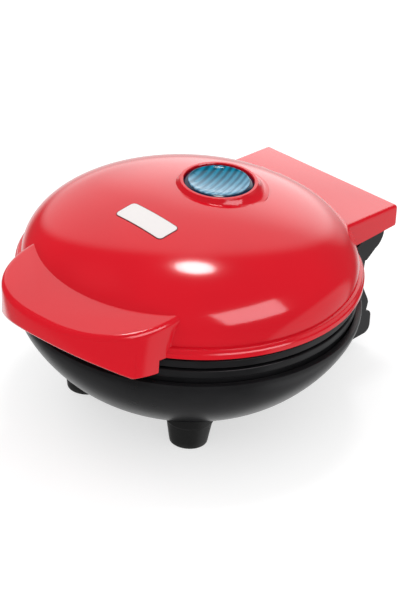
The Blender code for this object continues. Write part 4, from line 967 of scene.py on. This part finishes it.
def block_solid():
    back_top = BLOCK_TOP - BLOCK_FALL
    outline = [
        (BLOCK_ROOT, BLOCK_BOTTOM),
        (BLOCK_REACH - BLOCK_UNDERCUT, BLOCK_BOTTOM),
        (BLOCK_REACH, BLOCK_BOTTOM + BLOCK_UNDERCUT),
        (BLOCK_REACH, back_top),
        (BLOCK_ROOT, BLOCK_TOP),
    ]
    block = prism("block_form", outline, -BLOCK_HALF_WIDTH, BLOCK_HALF_WIDTH, "X")

    def outer_edge(middle, _):
        at_back = abs(middle.y - BLOCK_REACH) < WELD
        at_side = abs(abs(middle.x) - BLOCK_HALF_WIDTH) < WELD
        above = middle.z > back_top - WELD and middle.y > BLOCK_ROOT + WELD
        return (above and (at_back or at_side)) or (at_back and at_side)

    rounded_edges(block, outer_edge, BLOCK_FILLET, FILLET_STEPS)
    return block


def block_hollow():
    outline = [
        (BLOCK_ROOT + WALL, BLOCK_BOTTOM - 2 * OVERRUN),
        (BLOCK_REACH - WALL, BLOCK_BOTTOM - 2 * OVERRUN),
        (BLOCK_REACH - WALL, BLOCK_TOP - BLOCK_FALL - WALL),
        (BLOCK_ROOT + WALL, BLOCK_TOP - WALL),
    ]
    half = BLOCK_HALF_WIDTH - WALL
    return clear_of_lid(prism("block_room", outline, -half, half, "X"))


def hinge_notch():
    return box(
        "hinge_notch",
        (-NOTCH_HALF_WIDTH, NOTCH_HALF_WIDTH),
        (NOTCH_FRONT, BLOCK_REACH - 2 * WALL),
        (RIM_HEIGHT - OVERRUN, NOTCH_TOP),
    )


def knuckle(side):
    ends = sorted((side * KNUCKLE_INNER, side * (KNUCKLE_INNER + KNUCKLE_WIDTH)))
    barrel = hinge_rod(f"knuckle_{side}", KNUCKLE_RADIUS, *ends)
    web = box(
        f"knuckle_web_{side}",
        ends,
        (HINGE_REACH - KNUCKLE_WEB / 2, HINGE_REACH + KNUCKLE_WEB / 2),
        (HINGE.z, BLOCK_TOP - BLOCK_FALL - WALL / 2),
    )
    return carved(barrel, ("UNION", [web]))


def pin_bore(name):
    """The hole for both hinge pins, closed at the barrel's two ends."""
    return hinge_rod(name, PIN_BORE_RADIUS, -PIN_BORE_END, PIN_BORE_END, PIN_STEPS)


def lead_hole():
    ends = [(0, y, LEAD_HOLE_HEIGHT) for y in (DOME_RADIUS - 3 * WALL, DOME_RADIUS + WALL)]
    return rod("lead_hole", LEAD_HOLE_RADIUS, *ends, PIN_STEPS)


def collar_solid():
    """The raised ring that carries the lens, swept out into the dome."""
    foot_radius = COLLAR_TOP_RADIUS + COLLAR_SWEEP + COLLAR_SLOPE
    sweep = [
        (
            COLLAR_TOP_RADIUS + COLLAR_SWEEP * (1 - math.cos(a)) + COLLAR_SLOPE * math.sin(a),
            COLLAR_TOP - COLLAR_DROP * math.sin(a),
        )
        for a in quarter(SWEEP_STEPS)[1:]
    ]
    section = [(0, COLLAR_TOP), (COLLAR_TOP_RADIUS, COLLAR_TOP), *sweep]
    section += [(foot_radius, COLLAR_ROOT), (0, COLLAR_ROOT)]
    edge = bpy.context.scene.cooker_sizes.edge_round
    section = softened(section, edge, sharp=range(2, SWEEP_STEPS + 4))
    return turned("collar_form", section, ROUND_STEPS, AT_LENS)

def lens_bore():
    narrow = LENS_RADIUS + FIT
    wide = LENS_HIGH.x + FIT
    section = [
        (0, COLLAR_TOP + OVERRUN),
        (narrow + OVERRUN, COLLAR_TOP + OVERRUN),
        (narrow + FIT, COLLAR_TOP + FIT / 3),
        (narrow, COLLAR_TOP - FIT),
        (narrow, LENS_SEAT),
        (wide, LENS_SEAT),
        (wide, COLLAR_ROOT - OVERRUN),
        (0, COLLAR_ROOT - OVERRUN),
    ]
    return turned("lens_bore", section, ROUND_STEPS, AT_LENS)


def lid_shell():
    """The lid's one red moulding."""
    return carved(
        lid_form("lid_shell", 0, RIM_HEIGHT),
        ("UNION", [handle_solid(), block_solid(), collar_solid()]),
        ("DIFFERENCE", [lid_inside(), handle_hollow(), block_hollow(), hinge_notch()]),
        ("UNION", [knuckle(-1), knuckle(1), *[handle_rib(number) for number in (-1, 0, 1)]]),
        ("DIFFERENCE", [lens_bore(), pin_bore("lid_pin_bore"), lead_hole()]),
    )


# Lens

def lens_pitch():
    return 2 * LENS_FACE_RADIUS / bpy.context.scene.cooker_sizes.lens_ribs


def lens_face_height(radius):
    """Height of the dished lens face at a radius."""
    fall = LENS_DISH * (1 - (radius / LENS_FACE_RADIUS) ** LENS_DISH_POWER)
    return COLLAR_TOP + LENS_EDGE_RISE - fall


def lens_body():
    """Dished face with a fine edge round it, down to the seat."""
    radii = [(LENS_FACE_RADIUS - LENS_EDGE) * n / LENS_ROWS for n in range(LENS_ROWS)]
    rim = lens_face_height(LENS_FACE_RADIUS)
    section = [(radius, lens_face_height(radius)) for radius in radii]
    section += [
        (LENS_FACE_RADIUS - LENS_EDGE, rim),
        (LENS_FACE_RADIUS - LENS_EDGE / 4, rim - LENS_EDGE / 4),
        (LENS_FACE_RADIUS, rim - LENS_EDGE),
        (LENS_FACE_RADIUS, LENS_SEAT),
        (0, LENS_SEAT),
    ]
    return turned("lens_face", section, ROUND_STEPS, AT_LENS)


def lens_rim():
    """The dark outer ring of the lens, which slopes down to the collar, and its flange."""
    inner = LENS_FACE_RADIUS + LENS_RIM_FIT
    top = COLLAR_TOP - LENS_RIM_DROP
    section = [
        (inner, top),
        (LENS_RADIUS, top - 3 * LENS_RIM_DROP),
        (LENS_RADIUS, LENS_SEAT - FIT),
        (LENS_HIGH.x, LENS_SEAT - FIT),
        (LENS_HIGH.x, LENS_LOW.z),
        (inner, LENS_LOW.z),
    ]
    return turned("lens_rim", softened(section, LENS_RIM_EDGE), ROUND_STEPS, AT_LENS)


# Geometry Nodes

class Tree(Nodes):
    """A node group for a Geometry Nodes modifier, with named inputs."""

    def __init__(self, name):
        super().__init__(bpy.data.node_groups.new(name, "GeometryNodeTree"))
        for way in ("INPUT", "OUTPUT"):
            self.tree.interface.new_socket("Geometry", in_out=way, socket_type="NodeSocketGeometry")
        self.entry = self.tree.nodes.new("NodeGroupInput")
        self.exit = self.tree.nodes.new("NodeGroupOutput")

    def input(self, name, kind, value=None):
        """Adds a named input and returns its socket."""
        made = self.tree.interface.new_socket(name, in_out="INPUT", socket_type=f"NodeSocket{kind}")
        if value is not None:
            made.default_value = value
        return Sock(self.tree, self.entry.outputs[name])

    def lengths(self, **values):
        """Adds a named float input for each value and returns their sockets."""
        return [self.input(name.replace("_", " "), "Float", value) for name, value in values.items()]

    def boolean(self, operation, first, *others):
        """Cuts or crosses meshes exactly."""
        made = self.tree.nodes.new("GeometryNodeMeshBoolean")
        made.operation = operation
        made.solver = "EXACT"
        if first:
            plug(self.tree, made.inputs["Mesh 1"], first)
        for other in others:
            plug(self.tree, made.inputs["Mesh 2"], other)
        return Sock(self.tree, made.outputs[0])

    def row(self, count, pitch):
        """Each point's place along X in an even row about the middle."""
        return (self.node("GeometryNodeInputIndex") - (count - 1.0) * 0.5) * pitch

    def finish(self, geometry, material):
        """Ends in Realize Instances and Set Material."""
        real = self.node("GeometryNodeRealizeInstances", Geometry=geometry)
        painted = self.node("GeometryNodeSetMaterial", Geometry=real, Material=material)
        plug(self.tree, self.exit.inputs[0], painted)


def grown(obj, tree, **values):
    """Runs a tree on an object with its inputs set by identifier, and leaves a plain mesh."""
    modifier = obj.modifiers.new(tree.tree.name, "NODES")
    modifier.node_group = tree.tree
    for item in tree.tree.interface.items_tree:
        name = item.name.replace(" ", "_").lower()
        if item.in_out == "INPUT" and name in values:
            modifier[item.identifier] = values[name]
    return baked(obj)


def rib_tree():
    """A row of parallel rounded ribs whose ends follow a circle."""
    tree = Tree("lens_rib_row")
    count = tree.input("Count", "Int", 9)
    pitch, reach, height = tree.lengths(Pitch=1.0, Reach=1.0, Height=1.0)
    finish = tree.input("Finish", "Material")
    offset = tree.row(count, pitch)
    half = (reach * reach - offset * offset).maths("POWER", 0.5)
    place = tree.node("ShaderNodeCombineXYZ", X=offset)
    points = tree.node("GeometryNodePoints", Count=count, Position=place)
    ball = tree.node("GeometryNodeMeshUVSphere", Segments=10, Rings=14, Radius=1.0)
    ball = tree.node("GeometryNodeSetShadeSmooth", Geometry=ball)
    size = tree.node("ShaderNodeCombineXYZ", X=pitch * LENS_RIB_SHARE, Y=half, Z=height)
    rows = tree.node("GeometryNodeInstanceOnPoints", Points=points, Instance=ball, Scale=size)
    tree.finish(rows, finish)
    return tree


def lens_ribs():
    """Ribs across the lens face, bent to its dish."""
    sizes = bpy.context.scene.cooker_sizes
    ribs = link("lens_ribs", bpy.data.meshes.new("lens_ribs"))
    grown(
        ribs, rib_tree(), count=sizes.lens_ribs, pitch=lens_pitch(),
        reach=LENS_FACE_RADIUS - LENS_RIB_END, height=sizes.lens_rib_height, finish=finish_of(lens_blue),
    )
    ribs.data.transform(Matrix.Rotation(LENS_RIB_TURN, 4, "Z"))
    for vert in ribs.data.vertices:
        vert.co.z += lens_face_height(vert.co.to_2d().length)
        vert.co.y += AXIS_Y + LENS_REACH
    return ribs


# Bare badge on the dome

def dome_height(radius):
    share = max(0.0, 1 - (radius / DOME_RADIUS) ** DOME_POWER)
    return DOME_FOOT + DOME_RISE * share ** (1 / DOME_POWER)


def bevelled(obj, width, angle):
    """Rounds the edges that bend by more than the angle."""
    bevel = obj.modifiers.new("round", "BEVEL")
    bevel.width = width
    bevel.segments = 2
    bevel.limit_method = "ANGLE"
    bevel.angle_limit = angle
    return baked(obj)


def badge(name, grow, share):
    """A bare plate with rounded corners that lies on the dome."""
    sizes = bpy.context.scene.cooker_sizes
    half_x, half_y = sizes.badge_length / 2 + grow, sizes.badge_width / 2 + grow
    thick = sizes.badge_thickness * share
    corner = BADGE_CORNER + grow
    turn = Matrix.Rotation(BADGE_TURN, 2)
    bm = bmesh.new()
    grid = []
    for row in range(BADGE_ROWS + 1):
        for column in range(BADGE_COLUMNS + 1):
            x = half_x * (2 * column / BADGE_COLUMNS - 1)
            y = half_y * (2 * row / BADGE_ROWS - 1)
            over_x, over_y = abs(x) - half_x + corner, abs(y) - half_y + corner
            if over_x > 0 and over_y > 0:
                pull = max(over_x, over_y) / math.hypot(over_x, over_y)
                x = math.copysign(half_x - corner + over_x * pull, x)
                y = math.copysign(half_y - corner + over_y * pull, y)
            spot = turn @ Vector((x, y)) + Vector(BADGE_CENTRE)
            grid.append(bm.verts.new((spot.x, spot.y, dome_height(spot.length))))
    width = BADGE_COLUMNS + 1
    for start in range(BADGE_ROWS * width):
        if (start + 1) % width:
            corners = (start, start + 1, start + width + 1, start + width)
            bm.faces.new([grid[number] for number in corners])
    top = bmesh.ops.extrude_face_region(bm, geom=bm.faces[:])["geom"]
    raised = [v for v in top if isinstance(v, bmesh.types.BMVert)]
    bmesh.ops.translate(bm, vec=(0, 0, thick), verts=raised)
    bmesh.ops.translate(bm, vec=(0, 0, -thick / 2), verts=grid)
    return bevelled(closed(name, bm), thick / 3, BADGE_BEND)


# Frames and waffle plates

def level(side, depth):
    return PARTING + side * depth


def band_frame(name, side):
    """The black ring between lid and base, with its rounded band."""
    near = BAND_GAP / 2
    far = near + BAND_THICKNESS
    ledge = near + LEDGE_DEPTH
    section = [
        (LIP_RADIUS + FIT, near),
        (BAND_RADIUS, near),
        (BAND_RADIUS, far),
        (NECK_RADIUS, far),
        (NECK_RADIUS, near + FRAME_DEPTH),
        (FRAME_INNER_RADIUS, near + FRAME_DEPTH),
        (FRAME_INNER_RADIUS, ledge),
        (LIP_RADIUS + FIT, ledge),
    ]
    section = softened(section, BAND_ROUND, sharp=(4, 5, 6, 7))
    ring = turned(name, [(radius, level(side, depth)) for radius, depth in section], FINE_STEPS)
    reach = BAND_RADIUS + OVERRUN
    ends = sorted((level(side, 0), level(side, FRAME_DEPTH + OVERRUN)))
    flat = box(f"{name}_flat", (-reach, reach), (FRAME_FLAT, reach), ends)
    return carved(ring, ("DIFFERENCE", [flat]))


def channel_tree():
    """Cuts crossing rows of tapered channels into a plate: what stays is its grid of posts."""
    tree = Tree("waffle_grid")
    count = tree.input("Channels", "Int", GRID_CHANNELS)
    pitch, length, narrow, wide, tall, rise, reach, centre = tree.lengths(
        Pitch=GRID_PITCH, Length=CHANNEL_LENGTH, Bottom_width=CHANNEL_BOTTOM_WIDTH,
        Mouth_width=CHANNEL_TOP_WIDTH, Depth=FLOOR_DEPTH, Height=0.0, Reach=CHANNEL_RADIUS, Centre=0.0,
    )
    finish = tree.input("Finish", "Material")
    start = tree.node("ShaderNodeCombineXYZ", Y=length * -0.5)
    end = tree.node("ShaderNodeCombineXYZ", Y=length * 0.5)
    line = tree.node("GeometryNodeCurvePrimitiveLine", Start=start, End=end)
    section = tree.node(
        "GeometryNodeCurvePrimitiveQuadrilateral", settings={"mode": "TRAPEZOID"},
        Bottom_Width=narrow, Top_Width=wide, Height=tall, Offset=0.0,
    )
    bar = tree.node("GeometryNodeCurveToMesh", Curve=line, Profile_Curve=section, Fill_Caps=True)
    place = tree.node("ShaderNodeCombineXYZ", X=tree.row(count, pitch))
    spots = tree.node("GeometryNodePoints", Count=count, Position=place)
    row = tree.node("GeometryNodeInstanceOnPoints", Points=spots, Instance=bar)
    place = tree.node("ShaderNodeCombineXYZ", Y=centre, Z=rise)
    disc = tree.node("GeometryNodeMeshCylinder", Vertices=ROUND_STEPS, Radius=reach, Depth=tall)
    disc = tree.node("GeometryNodeTransform", Geometry=disc, Translation=place)
    body = Sock(tree.tree, tree.entry.outputs["Geometry"])
    for turn in (0.0, math.pi / 2):
        rows = tree.node(
            "GeometryNodeTransform", Geometry=row, Translation=place, Rotation=(0.0, 0.0, turn)
        )
        rows = tree.node("GeometryNodeRealizeInstances", Geometry=rows)
        body = tree.boolean("DIFFERENCE", body, tree.boolean("INTERSECT", None, rows, disc))
    tree.finish(body, finish)
    return tree


def waffle_plate(name, side, material):
    """A cast plate: rounded lip, sloped wall, and the grid of posts cut by the channel tree."""
    near = PLATE_GAP / 2
    under = FLOOR_DEPTH + PLATE_THICKNESS
    section = [
        (0, POST_TOP_DEPTH),
        (POST_TOP_RADIUS, POST_TOP_DEPTH),
        (POST_FOOT_RADIUS, FLOOR_DEPTH),
        (FLOOR_RADIUS, FLOOR_DEPTH),
        (LIP_INNER_RADIUS, near),
        (LIP_RADIUS, near),
        (LIP_RADIUS, near + LIP_THICKNESS),
        (FRAME_INNER_RADIUS - 2 * FIT, near + LIP_THICKNESS),
        (DISH_BOTTOM_RADIUS, under),
        (0, under),
    ]
    section = softened(section, PLATE_EDGE, sharp=(1, 2, 3))
    plate = turned(name, [(radius, level(side, depth)) for radius, depth in section], PLATE_STEPS)
    tall = FLOOR_DEPTH - CHANNEL_STEP - POST_TOP_DEPTH + OVERRUN
    flare = (CHANNEL_TOP_WIDTH - CHANNEL_BOTTOM_WIDTH) / (FLOOR_DEPTH - POST_TOP_DEPTH)
    bottom, mouth = CHANNEL_BOTTOM_WIDTH, CHANNEL_BOTTOM_WIDTH + flare * tall
    if side > 0:
        bottom, mouth = mouth, bottom
    grown(
        plate, channel_tree(), channels=GRID_CHANNELS, pitch=GRID_PITCH, length=CHANNEL_LENGTH,
        bottom_width=bottom, mouth_width=mouth, depth=tall, reach=CHANNEL_RADIUS, centre=AXIS_Y,
        height=level(side, FLOOR_DEPTH - CHANNEL_STEP - tall / 2), finish=material,
    )
    bm = bmesh.new()
    bm.from_mesh(plate.data)
    bmesh.ops.remove_doubles(bm, verts=bm.verts, dist=CAST_WELD)
    bmesh.ops.dissolve_limit(bm, angle_limit=CAST_FLAT, verts=bm.verts, edges=bm.edges)
    bm.to_mesh(plate.data)
    bm.free()
    bevelled(plate, bpy.context.scene.cooker_sizes.post_round, CAST_BEND)
    smooth(plate.data)
    return plate


# Base housing and feet

def bowl_curve(grow, rows):
    """The bowl's flank from its rim to the middle of its floor."""
    rim = BOWL_RIM_HEIGHT - BOWL_RIM_BAND
    rise = rim - BOWL_FLOOR_HEIGHT + grow
    across = RIM_RADIUS - BOWL_FLOOR_RADIUS + grow
    curve = [
        (BOWL_FLOOR_RADIUS + across * a, rim - rise * b) for a, b in superellipse(BOWL_POWER, rows)
    ]
    return curve + [(0, BOWL_FLOOR_HEIGHT - grow)]


def bowl_form(name, grow):
    edge = bpy.context.scene.cooker_sizes.edge_round
    rim, top = RIM_RADIUS + grow, BOWL_RIM_HEIGHT
    corner = [(0, top), (rim - edge, top), (rim - edge / 4, top - edge / 4), (rim, top - edge)]
    return turned(name, corner + bowl_curve(grow, BOWL_ROWS), FINE_STEPS)


def bowl_inside():
    top = BOWL_RIM_HEIGHT + OVERRUN / 2
    mouth = [(0, top), (RIM_RADIUS - WALL, top)]
    return turned("bowl_inside", mouth + bowl_curve(-WALL, BOWL_INNER_ROWS), ROUND_STEPS)


def tower_solid():
    """The hinge tower's outline from the side: flowing at the back, straight inside the bowl."""
    web = (math.cos(WEB_ANGLE), math.sin(WEB_ANGLE))
    back = flowing(
        [
            (HINGE_REACH + BARREL_RADIUS * web[0], HINGE.z - BARREL_RADIUS * web[1]),
            (HINGE_REACH - TOWER_WEB_INSET, HINGE.z - TOWER_WEB_DROP),
            (TOWER_WAIST, TOWER_WAIST_TOP),
            (TOWER_WAIST, TOWER_WAIST_BOTTOM),
            (TOWER_BULGE - FIT, TOWER_BULGE_HEIGHT + TOWER_BULGE_HALF),
            (TOWER_BULGE, TOWER_BULGE_HEIGHT - TOWER_BULGE_HALF),
            (TOWER_BULGE - WALL / 2, TOWER_BOTTOM),
        ],
        TOWER_STEPS,
    )
    front = [
        (LUG_ROOT, TOWER_BOTTOM - WALL),
        (LUG_ROOT - WALL * 2, TOWER_BOTTOM),
        (TOWER_FRONT, TOWER_ROOT),
        (TOWER_FRONT, TOWER_SHOULDER),
        (HINGE_REACH - BARREL_RADIUS + FIT, HINGE.z - FIT),
        (HINGE_REACH, HINGE.z),
    ]
    return prism("tower_form", back + front, -BARREL_HALF_WIDTH, BARREL_HALF_WIDTH, "X")


def lug_solid(side):
    reach, bottom, top, edge = LUG_REACH, LUG_BOTTOM, LUG_TOP, LUG_ROUND
    turns = [(edge * math.sin(a), edge * math.cos(a)) for a in quarter(SWEEP_STEPS)]
    lower = [(reach - edge + sine, bottom + edge - cosine) for sine, cosine in turns]
    upper = [(reach - edge + cosine, top - edge + sine) for sine, cosine in turns]
    outline = [(LUG_ROOT, top), (LUG_ROOT, bottom + 2 * edge), (reach - 4 * edge, bottom), *lower, *upper]
    ends = sorted((side * LUG_INNER, side * (BARREL_HALF_WIDTH - FIT)))
    return prism(f"lug_{side}", outline, *ends, "X")

def knuckle_slot(side):
    ends = sorted((side * (KNUCKLE_INNER - FIT), side * (KNUCKLE_INNER + KNUCKLE_WIDTH + FIT)))
    front = HINGE_REACH - KNUCKLE_RADIUS - 2 * FIT
    heights = (HINGE.z - KNUCKLE_RADIUS - SLOT_FLOOR_GAP, HINGE.z + BARREL_RADIUS + OVERRUN)
    return box(f"knuckle_slot_{side}", ends, (front, BLOCK_REACH), heights)


def lead_chamber():
    """The open room between the knuckles where the lead crosses the hinge."""
    return box(
        "lead_chamber",
        (-CHAMBER_HALF_WIDTH, CHAMBER_HALF_WIDTH),
        (TOWER_FRONT - OVERRUN, HINGE_REACH + BARREL_RADIUS + OVERRUN),
        (HINGE.z - CHAMBER_DEPTH, HINGE.z + BARREL_RADIUS + OVERRUN),
    )


def lead_shaft():
    """The lead's way down from the chamber into the bowl."""
    return box(
        "lead_shaft",
        (-SHAFT_HALF_WIDTH, SHAFT_HALF_WIDTH),
        (SHAFT_FRONT, SHAFT_BACK),
        (SHAFT_BOTTOM, HINGE.z - CHAMBER_DEPTH + OVERRUN / 2),
    )


def bowl_shell():
    """The base's one black moulding: bowl, hinge tower with its barrel, and rear lugs."""
    half = BARREL_HALF_WIDTH
    barrel = hinge_rod("barrel_form", BARREL_RADIUS, -half, half, ROUND_STEPS)
    gland = [(0, y, GLAND_HEIGHT) for y in (GLAND_HOLE_START, TOWER_BULGE + OVERRUN)]
    return carved(
        bowl_form("bowl_shell", 0),
        ("UNION", [tower_solid(), lug_solid(-1), lug_solid(1), barrel]),
        ("DIFFERENCE", [bowl_inside(), knuckle_slot(-1), knuckle_slot(1), lead_chamber(), lead_shaft()]),
        ("DIFFERENCE", [pin_bore("base_pin_bore"), rod("gland_hole", GLAND_HOLE_RADIUS, *gland)]),
    )


def foot(name, x, y):
    """A tapered foot with a collar, its top following the bowl."""
    section = [
        (0, FOOT_TOP),
        (FOOT_COLLAR_RADIUS, FOOT_TOP),
        (FOOT_COLLAR_RADIUS, FOOT_COLLAR_HEIGHT),
        (FOOT_TOP_RADIUS, FOOT_COLLAR_HEIGHT - FOOT_CHAMFER),
        (FOOT_BOTTOM_RADIUS, 0),
        (0, 0),
    ]
    section = softened(section, FOOT_CHAMFER, sharp=(1,))
    made = turned(name, section, ROUND_STEPS, (x * FOOT_OFFSET, y * FOOT_OFFSET, 0))
    return carved(made, ("DIFFERENCE", [bowl_form(f"{name}_seat", FIT / 3)]))


# Operators

class COOKER_OT_lid(bpy.types.Operator):
    """Makes the red lid moulding with its handle, hinge block and lens collar"""

    bl_idname = "cooker.lid"
    bl_label = "Lid moulding"

    def execute(self, context):
        placed(lid_shell(), "lid", "red_gloss", finish_of(gloss_red), "lid_cover")
        return {"FINISHED"}


class COOKER_OT_badge(bpy.types.Operator):
    """Lays a bare plate with a thin dark edge on the dome"""

    bl_idname = "cooker.badge"
    bl_label = "Bare badge"

    def execute(self, context):
        placed(badge("blank_badge", 0, 1), "lid", "red_gloss", finish_of(badge_white))
        backing = badge("badge_backing", BACKING_EDGE, BACKING_SHARE)
        placed(backing, "lid", "red_gloss", finish_of(badge_edge))
        return {"FINISHED"}


class COOKER_OT_lens(bpy.types.Operator):
    """Makes the lens, its ribs and its dark rim"""

    bl_idname = "cooker.lens"
    bl_label = "Indicator lens"

    def execute(self, context):
        placed(lens_body(), "lid", "blue_lens", finish_of(lens_blue), "indicator_lens")
        placed(lens_rim(), "lid", "blue_lens", finish_of(lens_edge_navy))
        placed(lens_ribs(), "lid", "blue_lens", None)
        return {"FINISHED"}


class COOKER_OT_plates(bpy.types.Operator):
    """Makes the two black frames and the two cast waffle plates"""

    bl_idname = "cooker.plates"
    bl_label = "Frames and plates"

    def execute(self, context):
        black, coat = finish_of(satin_black), finish_of(coated_aluminium)
        halves = ((1, "lid", "lid_frame", "upper_plate"), (-1, "base", "base_frame", "lower_plate"))
        for side, body, ring, plate in halves:
            placed(band_frame(f"{ring}_moulding", side), body, "black_satin", black, ring)
            casting = waffle_plate(f"{plate}_casting", side, coat)
            placed(casting, body, "coated_aluminium", coat, plate)
        return {"FINISHED"}


class COOKER_OT_base(bpy.types.Operator):
    """Makes the black bowl with its hinge tower, and the four feet"""

    bl_idname = "cooker.base"
    bl_label = "Base moulding and feet"

    def execute(self, context):
        placed(bowl_shell(), "base", "black_satin", finish_of(satin_black), "base_housing")
        for name, (x, y) in FEET.items():
            made = foot(f"foot_{name}_moulding", x, y)
            placed(made, "base", "black_rubber", finish_of(foot_black), f"foot_{name}")
        return {"FINISHED"}


class COOKER_OT_inner(bpy.types.Operator):
    """Gives the metal, ceramic and lead pieces inside their finishes"""

    bl_idname = "cooker.inner"
    bl_label = "Inner finishes"

    def execute(self, context):
        makers = {
            "reflector": bright_sheet,
            "heater": element_sheath,
            "screw": zinc_steel,
            "hinge_pin": zinc_steel,
            "lead": lead_sleeve,
            "thermostat": ceramic,
            "thermal_fuse": ceramic,
            "terminal_block": ceramic,
            "lamp_holder": ceramic,
            "indicator_lamp": lamp_glass,
            "cord_gland": foot_black,
        }
        for name, node in frame["nodes"].items():
            for word, maker in makers.items():
                if word in name:
                    node.data.materials.clear()
                    node.data.materials.append(finish_of(maker))
                    break
        return {"FINISHED"}


class COOKER_OT_stage(bpy.types.Operator):
    """Makes the floor, the lights and the camera"""

    bl_idname = "cooker.stage"
    bl_label = "Studio stage"

    def execute(self, context):
        sides = (-FLOOR_REACH, FLOOR_REACH)
        floor = box("studio_floor", sides, sides, FLOOR_HEIGHTS)
        floor.data.materials.append(finish_of(floor_white))
        floor.visible_glossy = False
        studio_light()
        studio_camera()
        return {"FINISHED"}


def looking(azimuth, elevation):
    """Unit direction from the object towards a place given in degrees, as the views count them."""
    a, e = math.radians(azimuth), math.radians(elevation)
    return Vector((math.sin(a) * math.cos(e), -math.cos(a) * math.cos(e), math.sin(e)))


def softbox(name, azimuth, elevation, width, height, radiance, colour=(1, 1, 1), shape="RECTANGLE"):
    """An area light that faces the lid, of a brightness per area that its size doesn't change."""
    light = bpy.data.lights.new(name, "AREA")
    light.shape = shape
    light.size = width
    light.size_y = height
    light.energy = radiance * math.pi * width * height
    light.color = colour
    lamp = link(name, light)
    away = looking(azimuth, elevation)
    lamp.location = away * LAMP_DISTANCE + Vector((0, AXIS_Y, LAMP_AIM))
    lamp.rotation_euler = away.to_track_quat("Z", "Y").to_euler()
    return lamp


def studio_world():
    """White to the camera, soft and even on dull surfaces, and for gloss a dim room with glows in it."""
    world = bpy.data.worlds.new("studio")
    world.use_nodes = True
    tree = world.node_tree
    nodes = Nodes(tree)
    way = nodes.node("ShaderNodeTexCoord", output="Generated")

    def glow(azimuth, elevation, wide, narrow, strength):
        """Strength near a direction, fading out between two angles from it."""
        aim = tree.nodes.new("ShaderNodeVectorMath")
        aim.operation = "DOT_PRODUCT"
        plug(tree, aim.inputs[0], way)
        plug(tree, aim.inputs[1], looking(azimuth, elevation))
        return nodes.node(
            "ShaderNodeMapRange", settings={"interpolation_type": "SMOOTHSTEP"},
            Value=Sock(tree, aim.outputs["Value"]), From_Min=math.cos(math.radians(wide)),
            From_Max=math.cos(math.radians(narrow)), To_Min=0.0, To_Max=strength,
        )

    first, *others = [glow(*values) for values in GLOWS.values()]
    gloss = sum(others, first) + GLOSS_DARK
    dull = tree.nodes["Background"]
    dull.inputs["Color"].default_value = (1, 1, 1, 1)
    dull.inputs["Strength"].default_value = SOFT_LIGHT
    shown = Sock(tree, dull.outputs[0])
    shiny = nodes.node("ShaderNodeBackground", Strength=gloss)
    white = nodes.node("ShaderNodeBackground", Color=(1, 1, 1, 1))
    for ray, surround in (("Is Glossy Ray", shiny), ("Is Camera Ray", white)):
        made = tree.nodes.new("ShaderNodeMixShader")
        share = nodes.node("ShaderNodeLightPath", output=ray)
        for slot, value in zip(made.inputs, (share, shown, surround)):
            plug(tree, slot, value)
        shown = Sock(tree, made.outputs[0])
    plug(tree, tree.nodes["World Output"].inputs["Surface"], shown)
    bpy.context.scene.world = world


def studio_light():
    """The surround, a round lamp overhead, a window that gloss alone shows, a fill that it doesn't."""
    bpy.context.scene.view_settings.view_transform = "Standard"
    studio_world()
    softbox("round_lamp", *ROUND_LAMP, shape="ELLIPSE")
    softbox("window", *WINDOW, WINDOW_TINT).visible_diffuse = False
    softbox("side_fill", *SIDE_FILL).visible_glossy = False


def studio_camera():
    """The photograph's camera, aimed so that the dome's axis falls on its pixel."""
    back = looking(*VIEW_WAY)
    azimuth = math.radians(VIEW_WAY[0])
    right = Vector((math.cos(azimuth), math.sin(azimuth), 0))
    up = back.cross(right)
    cosine, sine = math.cos(VIEW_ROLL), math.sin(VIEW_ROLL)
    right, up = right * cosine + up * sine, up * cosine - right * sine
    aside = (PHOTO_WIDTH / 2 - AXIS_PIXEL[0]) / FOCAL_PIXELS
    below = (PHOTO_HEIGHT / 2 - AXIS_PIXEL[1]) / FOCAL_PIXELS
    forward = (right * aside - up * below - back).normalized()
    right = (right - forward * right.dot(forward)).normalized()
    up = right.cross(forward)
    data = bpy.data.cameras.new("photo_camera")
    data.sensor_width = SENSOR
    data.lens = FOCAL_PIXELS * SENSOR / PHOTO_HEIGHT
    data.clip_end = FAR_CLIP
    camera = link("photo_camera", data)
    turn = Matrix((right, up, -forward)).transposed().to_4x4()
    stand = Vector((0, AXIS_Y, VIEW_HEIGHT)) + back * VIEW_DISTANCE
    camera.matrix_world = Matrix.Translation(stand) @ turn
    bpy.context.scene.camera = camera


class COOKER_PT_panel(bpy.types.Panel):
    """Lists the cooker's operators"""

    bl_label = "Waffle maker"
    bl_idname = "COOKER_PT_panel"
    bl_space_type = "VIEW_3D"
    bl_region_type = "UI"
    bl_category = "Waffle maker"

    def draw(self, context):
        column = self.layout.column()
        for operator in OPERATORS:
            column.operator(operator.bl_idname)
        for group in (context.scene.cooker_sizes, context.scene.cooker_colours):
            for name in group.__annotations__:
                column.prop(group, name)


OPERATORS = (
    COOKER_OT_stage,
    COOKER_OT_base,
    COOKER_OT_plates,
    COOKER_OT_lid,
    COOKER_OT_badge,
    COOKER_OT_lens,
    COOKER_OT_inner,
)
CLASSES = (CookerSizes, CookerColours, *OPERATORS, COOKER_PT_panel)


def register():
    for cls in CLASSES:
        bpy.utils.register_class(cls)
    bpy.types.Scene.cooker_sizes = PointerProperty(type=CookerSizes)
    bpy.types.Scene.cooker_colours = PointerProperty(type=CookerColours)


def unregister():
    del bpy.types.Scene.cooker_colours
    del bpy.types.Scene.cooker_sizes
    for cls in reversed(CLASSES):
        bpy.utils.unregister_class(cls)


def main():
    register()
    for operator in OPERATORS:
        group, name = operator.bl_idname.split(".")
        getattr(getattr(bpy.ops, group), name)()


if __name__ == "__main__":
    main()
